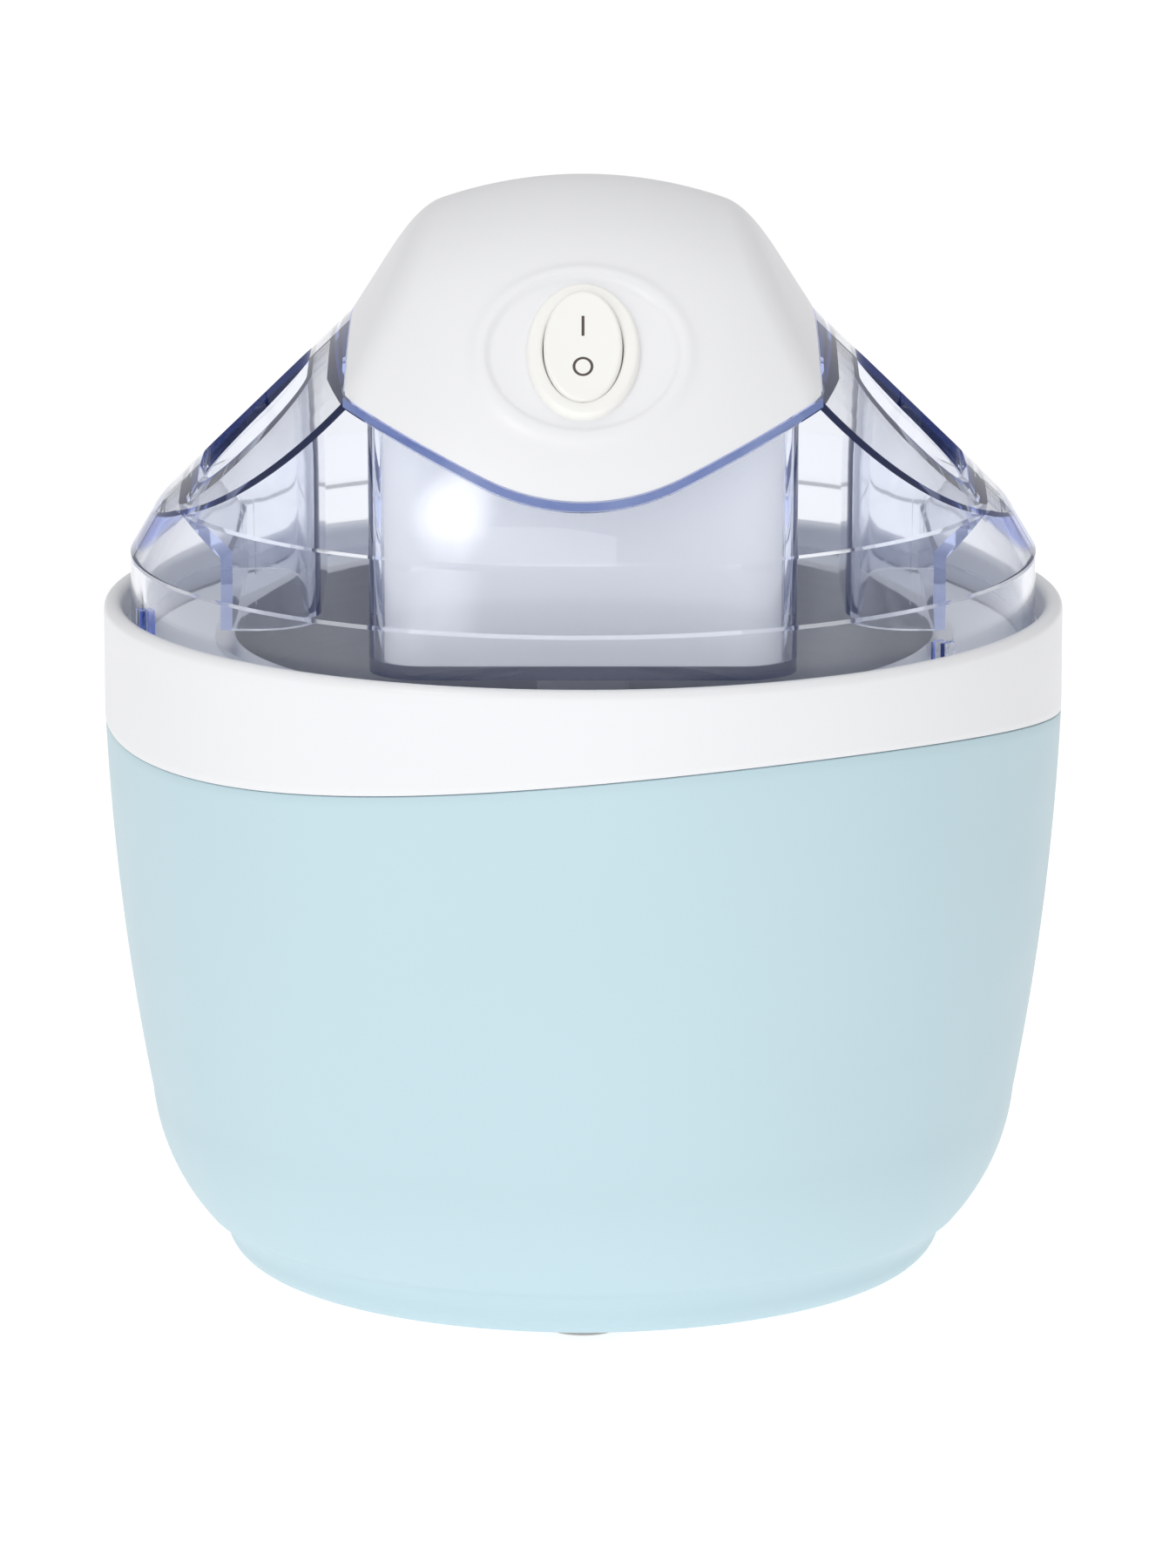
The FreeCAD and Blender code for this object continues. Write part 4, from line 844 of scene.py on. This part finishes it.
def build_beads():
    # Blue strips of painted edge light on the lid, in front and behind
    for name, side in (("lid_bead_front", -1), ("lid_bead_rear", 1)):
        finish_piece(name, bead_mesh(name, side), M["lid_bead"], "lid")


# Switch

def oval_ring(name, half, outline, place):
    """A ring on an ellipse; outline gives (inset from the edge, height) round its section."""
    rows = []
    for angle in full_turn(SWITCH_STEPS):
        rows.append([
            place @ Vector(((half[0] - inset) * math.cos(angle), (half[1] - inset) * math.sin(angle), height))
            for inset, height in outline
        ])
    return closed_grid(name, rows)


def bezel_outline():
    """A soft rounded rim that falls into the well, and the neck below it."""
    wide = BEZEL_HALF[0] - WELL_HALF[0]
    neck = BEZEL_HALF[0] - NECK_HALF[0]
    outline = [(0.0, 0.0), (0.0, BEZEL_EDGE)]
    for turn in quarter_turn(EDGE_STEPS):
        height = BEZEL_EDGE + (BEZEL_CREST - BEZEL_EDGE) * math.sin(turn)
        outline.append((BEZEL_ROUND * (1 - math.cos(turn)), height))
    outline += [
        (wide - BEZEL_INNER_ROUND, BEZEL_CREST),
        (wide - BEZEL_INNER_MID[0], BEZEL_CREST - BEZEL_INNER_MID[1]),
        (wide, BEZEL_CREST - BEZEL_INNER_ROUND),
        (wide, WELL_FLOOR),
        (wide + WELL_FLOOR_WIDTH, WELL_FLOOR),
        (wide + WELL_FLOOR_WIDTH, NECK_LOW),
        (neck, NECK_LOW),
        (neck, 0.0),
    ]
    return outline


def rocker_face(share):
    """Height of the rocker's hollow face at a share of the way out to its edge."""
    return ROCKER_CROWN - ROCKER_HOLLOW * (1 - (share / ROCKER_FACE_SHARE) ** 2)


def rocker_section():
    """The rocker's section from its middle below to its middle above, as (share of the half size, height)."""
    edge = ROCKER_CROWN - ROCKER_ROUND
    section = [(0.0, -ROCKER_BELOW), (ROCKER_SIDE_SHARE, -ROCKER_BELOW), (ROCKER_SIDE_SHARE, edge)]
    for turn in quarter_turn(EDGE_STEPS):
        share = ROCKER_FACE_SHARE + (ROCKER_SIDE_SHARE - ROCKER_FACE_SHARE) * math.cos(turn)
        section.append((share, edge + ROCKER_ROUND * math.sin(turn)))
    for step in range(1, ROCKER_FACE_STEPS + 1):
        share = ROCKER_FACE_SHARE * (1 - step / ROCKER_FACE_STEPS)
        section.append((share, rocker_face(share)))
    return section


def rocker_mesh():
    """An oval button with a shallow hollow in its face, a rounded edge and ends that clear the well."""
    rows = []
    for angle in full_turn(SWITCH_STEPS):
        row = []
        for share, height in rocker_section():
            x = ROCKER_HALF[0] * share * math.cos(angle)
            y = ROCKER_HALF[1] * share * math.sin(angle)
            limit = math.sqrt(max(ROCKER_HALF[1] ** 2 - height ** 2, 0))
            row.append(ROCKER_PLACE @ Vector((x, max(min(y, limit), -limit), height)))
        rows.append(row)
    return closed_grid("rocker_button", rows)


def rocker_mark(name, outline, closed):
    """A printed line on the rocker, standing a hair above its face."""
    curve = bpy.data.curves.new(name, "CURVE")
    curve.dimensions = "3D"
    curve.bevel_depth = MARK_WIDTH / 2
    curve.bevel_resolution = 4
    curve.use_fill_caps = True
    line = curve.splines.new("POLY")
    line.points.add(len(outline) - 1)
    for point, (x, y) in zip(line.points, outline):
        share = math.hypot(x / ROCKER_HALF[0], y / ROCKER_HALF[1])
        height = rocker_face(share) - MARK_WIDTH * MARK_SUNK_SHARE
        point.co = (*(ROCKER_PLACE @ Vector((x, y, height))), 1)
    line.use_cyclic_u = closed
    mark = bpy.data.objects.new(name, curve)
    bpy.context.scene.collection.objects.link(mark)
    paint(mark, M["mark"])
    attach(mark, "rocker")


def build_switch():
    bezel_mesh = oval_ring("switch_bezel", BEZEL_HALF, bezel_outline(), SWITCH_PLACE)
    bezel = finish_piece("switch_bezel", bezel_mesh, M["switch_cream"], "motor_unit",
                         SWITCH_SHARP_DEGREES)
    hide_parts("switch_frame")
    rocker = finish_piece("rocker_button", rocker_mesh(), M["switch_cream"], "rocker",
                          SWITCH_SHARP_DEGREES)
    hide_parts("rocker")
    line_shares = [2 * step / MARK_LINE_STEPS - 1 for step in range(MARK_LINE_STEPS + 1)]
    rocker_mark("mark_on", [(0, MARK_OUT + MARK_LINE_HALF * share) for share in line_shares], False)
    rocker_mark("mark_off", [
        (MARK_RING_HALF[0] * math.cos(angle), -MARK_OUT + MARK_RING_HALF[1] * math.sin(angle))
        for angle in full_turn(MARK_RING_STEPS)
    ], True)


# Stage, light and camera

FLOOR_HALF = 9.0
FLOOR_GREYS = (0.49, 0.51)
FLOOR_GREYS_SCALE = 3.0
FLOOR_ROUGHNESS = 0.8
FLOOR_GLOW = 0.72
WORLD_LIGHT = 0.5
LAMP_TARGET = Vector((0, 0, 0.1))
LAMP_FADE = (0.5, 0.15)
CAMERA_DISTANCE = 1.6087
CAMERA_PITCH = math.radians(12.45)
CAMERA_TARGET = Vector((0.88 * MM, 0, 90.2 * MM))
CAMERA_LENS = 200.0
CAMERA_SENSOR = 36.0


def build_stage():
    """A pale floor that glows a little, so that it runs into the white backdrop."""
    corners = [(FLOOR_HALF * x, FLOOR_HALF * y, 0) for x, y in ((-1, -1), (1, -1), (1, 1), (-1, 1))]
    mesh = bpy.data.meshes.new("floor")
    mesh.from_pydata(corners, [], [(0, 1, 2, 3)])
    floor = bpy.data.objects.new("floor", mesh)
    bpy.context.scene.collection.objects.link(floor)
    material, shader, where = new_material("floor_pale")
    drift = spread(material, noise(material, where, FLOOR_GREYS_SCALE), 0.0, 1.0)
    dark, pale = ((grey, grey, grey) for grey in FLOOR_GREYS)
    material.node_tree.links.new(blend_colours(material, drift, dark, pale), shader.inputs["Base Color"])
    shader.inputs["Roughness"].default_value = FLOOR_ROUGHNESS
    shader.inputs["Emission Color"].default_value = (1, 1, 1, 1)
    shader.inputs["Emission Strength"].default_value = FLOOR_GLOW
    paint(floor, material)


def soften(lamp):
    """Fade an area lamp towards its edges, so that its mirror image is a soft patch."""
    lamp.use_nodes = True
    tree = lamp.node_tree
    middle = tree.nodes.new("ShaderNodeVectorMath")
    middle.operation = "DISTANCE"
    middle.inputs[1].default_value = (0.5, 0.5, 0)
    tree.links.new(tree.nodes.new("ShaderNodeNewGeometry").outputs["Parametric"], middle.inputs[0])
    fade = map_range(tree, middle.outputs["Value"], *LAMP_FADE)
    fade.interpolation_type = "SMOOTHSTEP"
    tree.links.new(fade.outputs["Result"], tree.nodes["Emission"].inputs["Strength"])


def area_light(name, place, size, power):
    """A rectangular lamp turned to the object."""
    lamp = bpy.data.lights.new(name, "AREA")
    lamp.shape = "RECTANGLE"
    lamp.size, lamp.size_y = size
    lamp.energy = power
    lamp_object = bpy.data.objects.new(name, lamp)
    lamp_object.location = place
    lamp_object.rotation_euler = (LAMP_TARGET - Vector(place)).to_track_quat("-Z", "Y").to_euler()
    bpy.context.scene.collection.objects.link(lamp_object)
    return lamp_object


def build_world():
    """Even white light, and a backdrop that shows pure white."""
    world = bpy.data.worlds.new("studio")
    world.use_nodes = True
    tree = world.node_tree
    light = tree.nodes["Background"]
    light.inputs["Color"].default_value = (1, 1, 1, 1)
    light.inputs["Strength"].default_value = WORLD_LIGHT
    backdrop = tree.nodes.new("ShaderNodeBackground")
    backdrop.inputs["Color"].default_value = (1, 1, 1, 1)
    seen = tree.nodes.new("ShaderNodeLightPath").outputs["Is Camera Ray"]
    surface = mix_shaders(tree, seen, light.outputs["Background"], backdrop.outputs["Background"])
    tree.links.new(surface, tree.nodes["World Output"].inputs["Surface"])
    bpy.context.scene.world = world


def build_lamps():
    """A broad key that leaves no mirror image, a soft window that only shines on gloss, and a top light."""
    key = area_light("key", place=(-0.45, -1.8, 0.6), size=(1.5, 1.2), power=11.5)
    key.visible_glossy = False
    window = area_light("window", place=(-0.74, -0.9, 0.86), size=(0.62, 0.62), power=7.0)
    window.visible_diffuse = False
    soften(window.data)
    area_light("top", place=(0, 0.1, 1.5), size=(1.6, 1.6), power=6)


def build_camera():
    camera = bpy.data.cameras.new("camera")
    camera.lens = CAMERA_LENS
    camera.sensor_width = CAMERA_SENSOR
    camera_object = bpy.data.objects.new("camera", camera)
    back = Vector((0, -math.cos(CAMERA_PITCH), math.sin(CAMERA_PITCH)))
    camera_object.location = CAMERA_TARGET + back * CAMERA_DISTANCE
    camera_object.rotation_euler = (-back).to_track_quat("-Z", "Y").to_euler()
    bpy.context.scene.collection.objects.link(camera_object)
    bpy.context.scene.camera = camera_object


build_housing()
build_cover()
build_flange()
build_beads()
build_switch()
build_feet()
build_stage()
build_world()
build_lamps()
build_camera()
bpy.context.scene.view_settings.view_transform = "Standard"
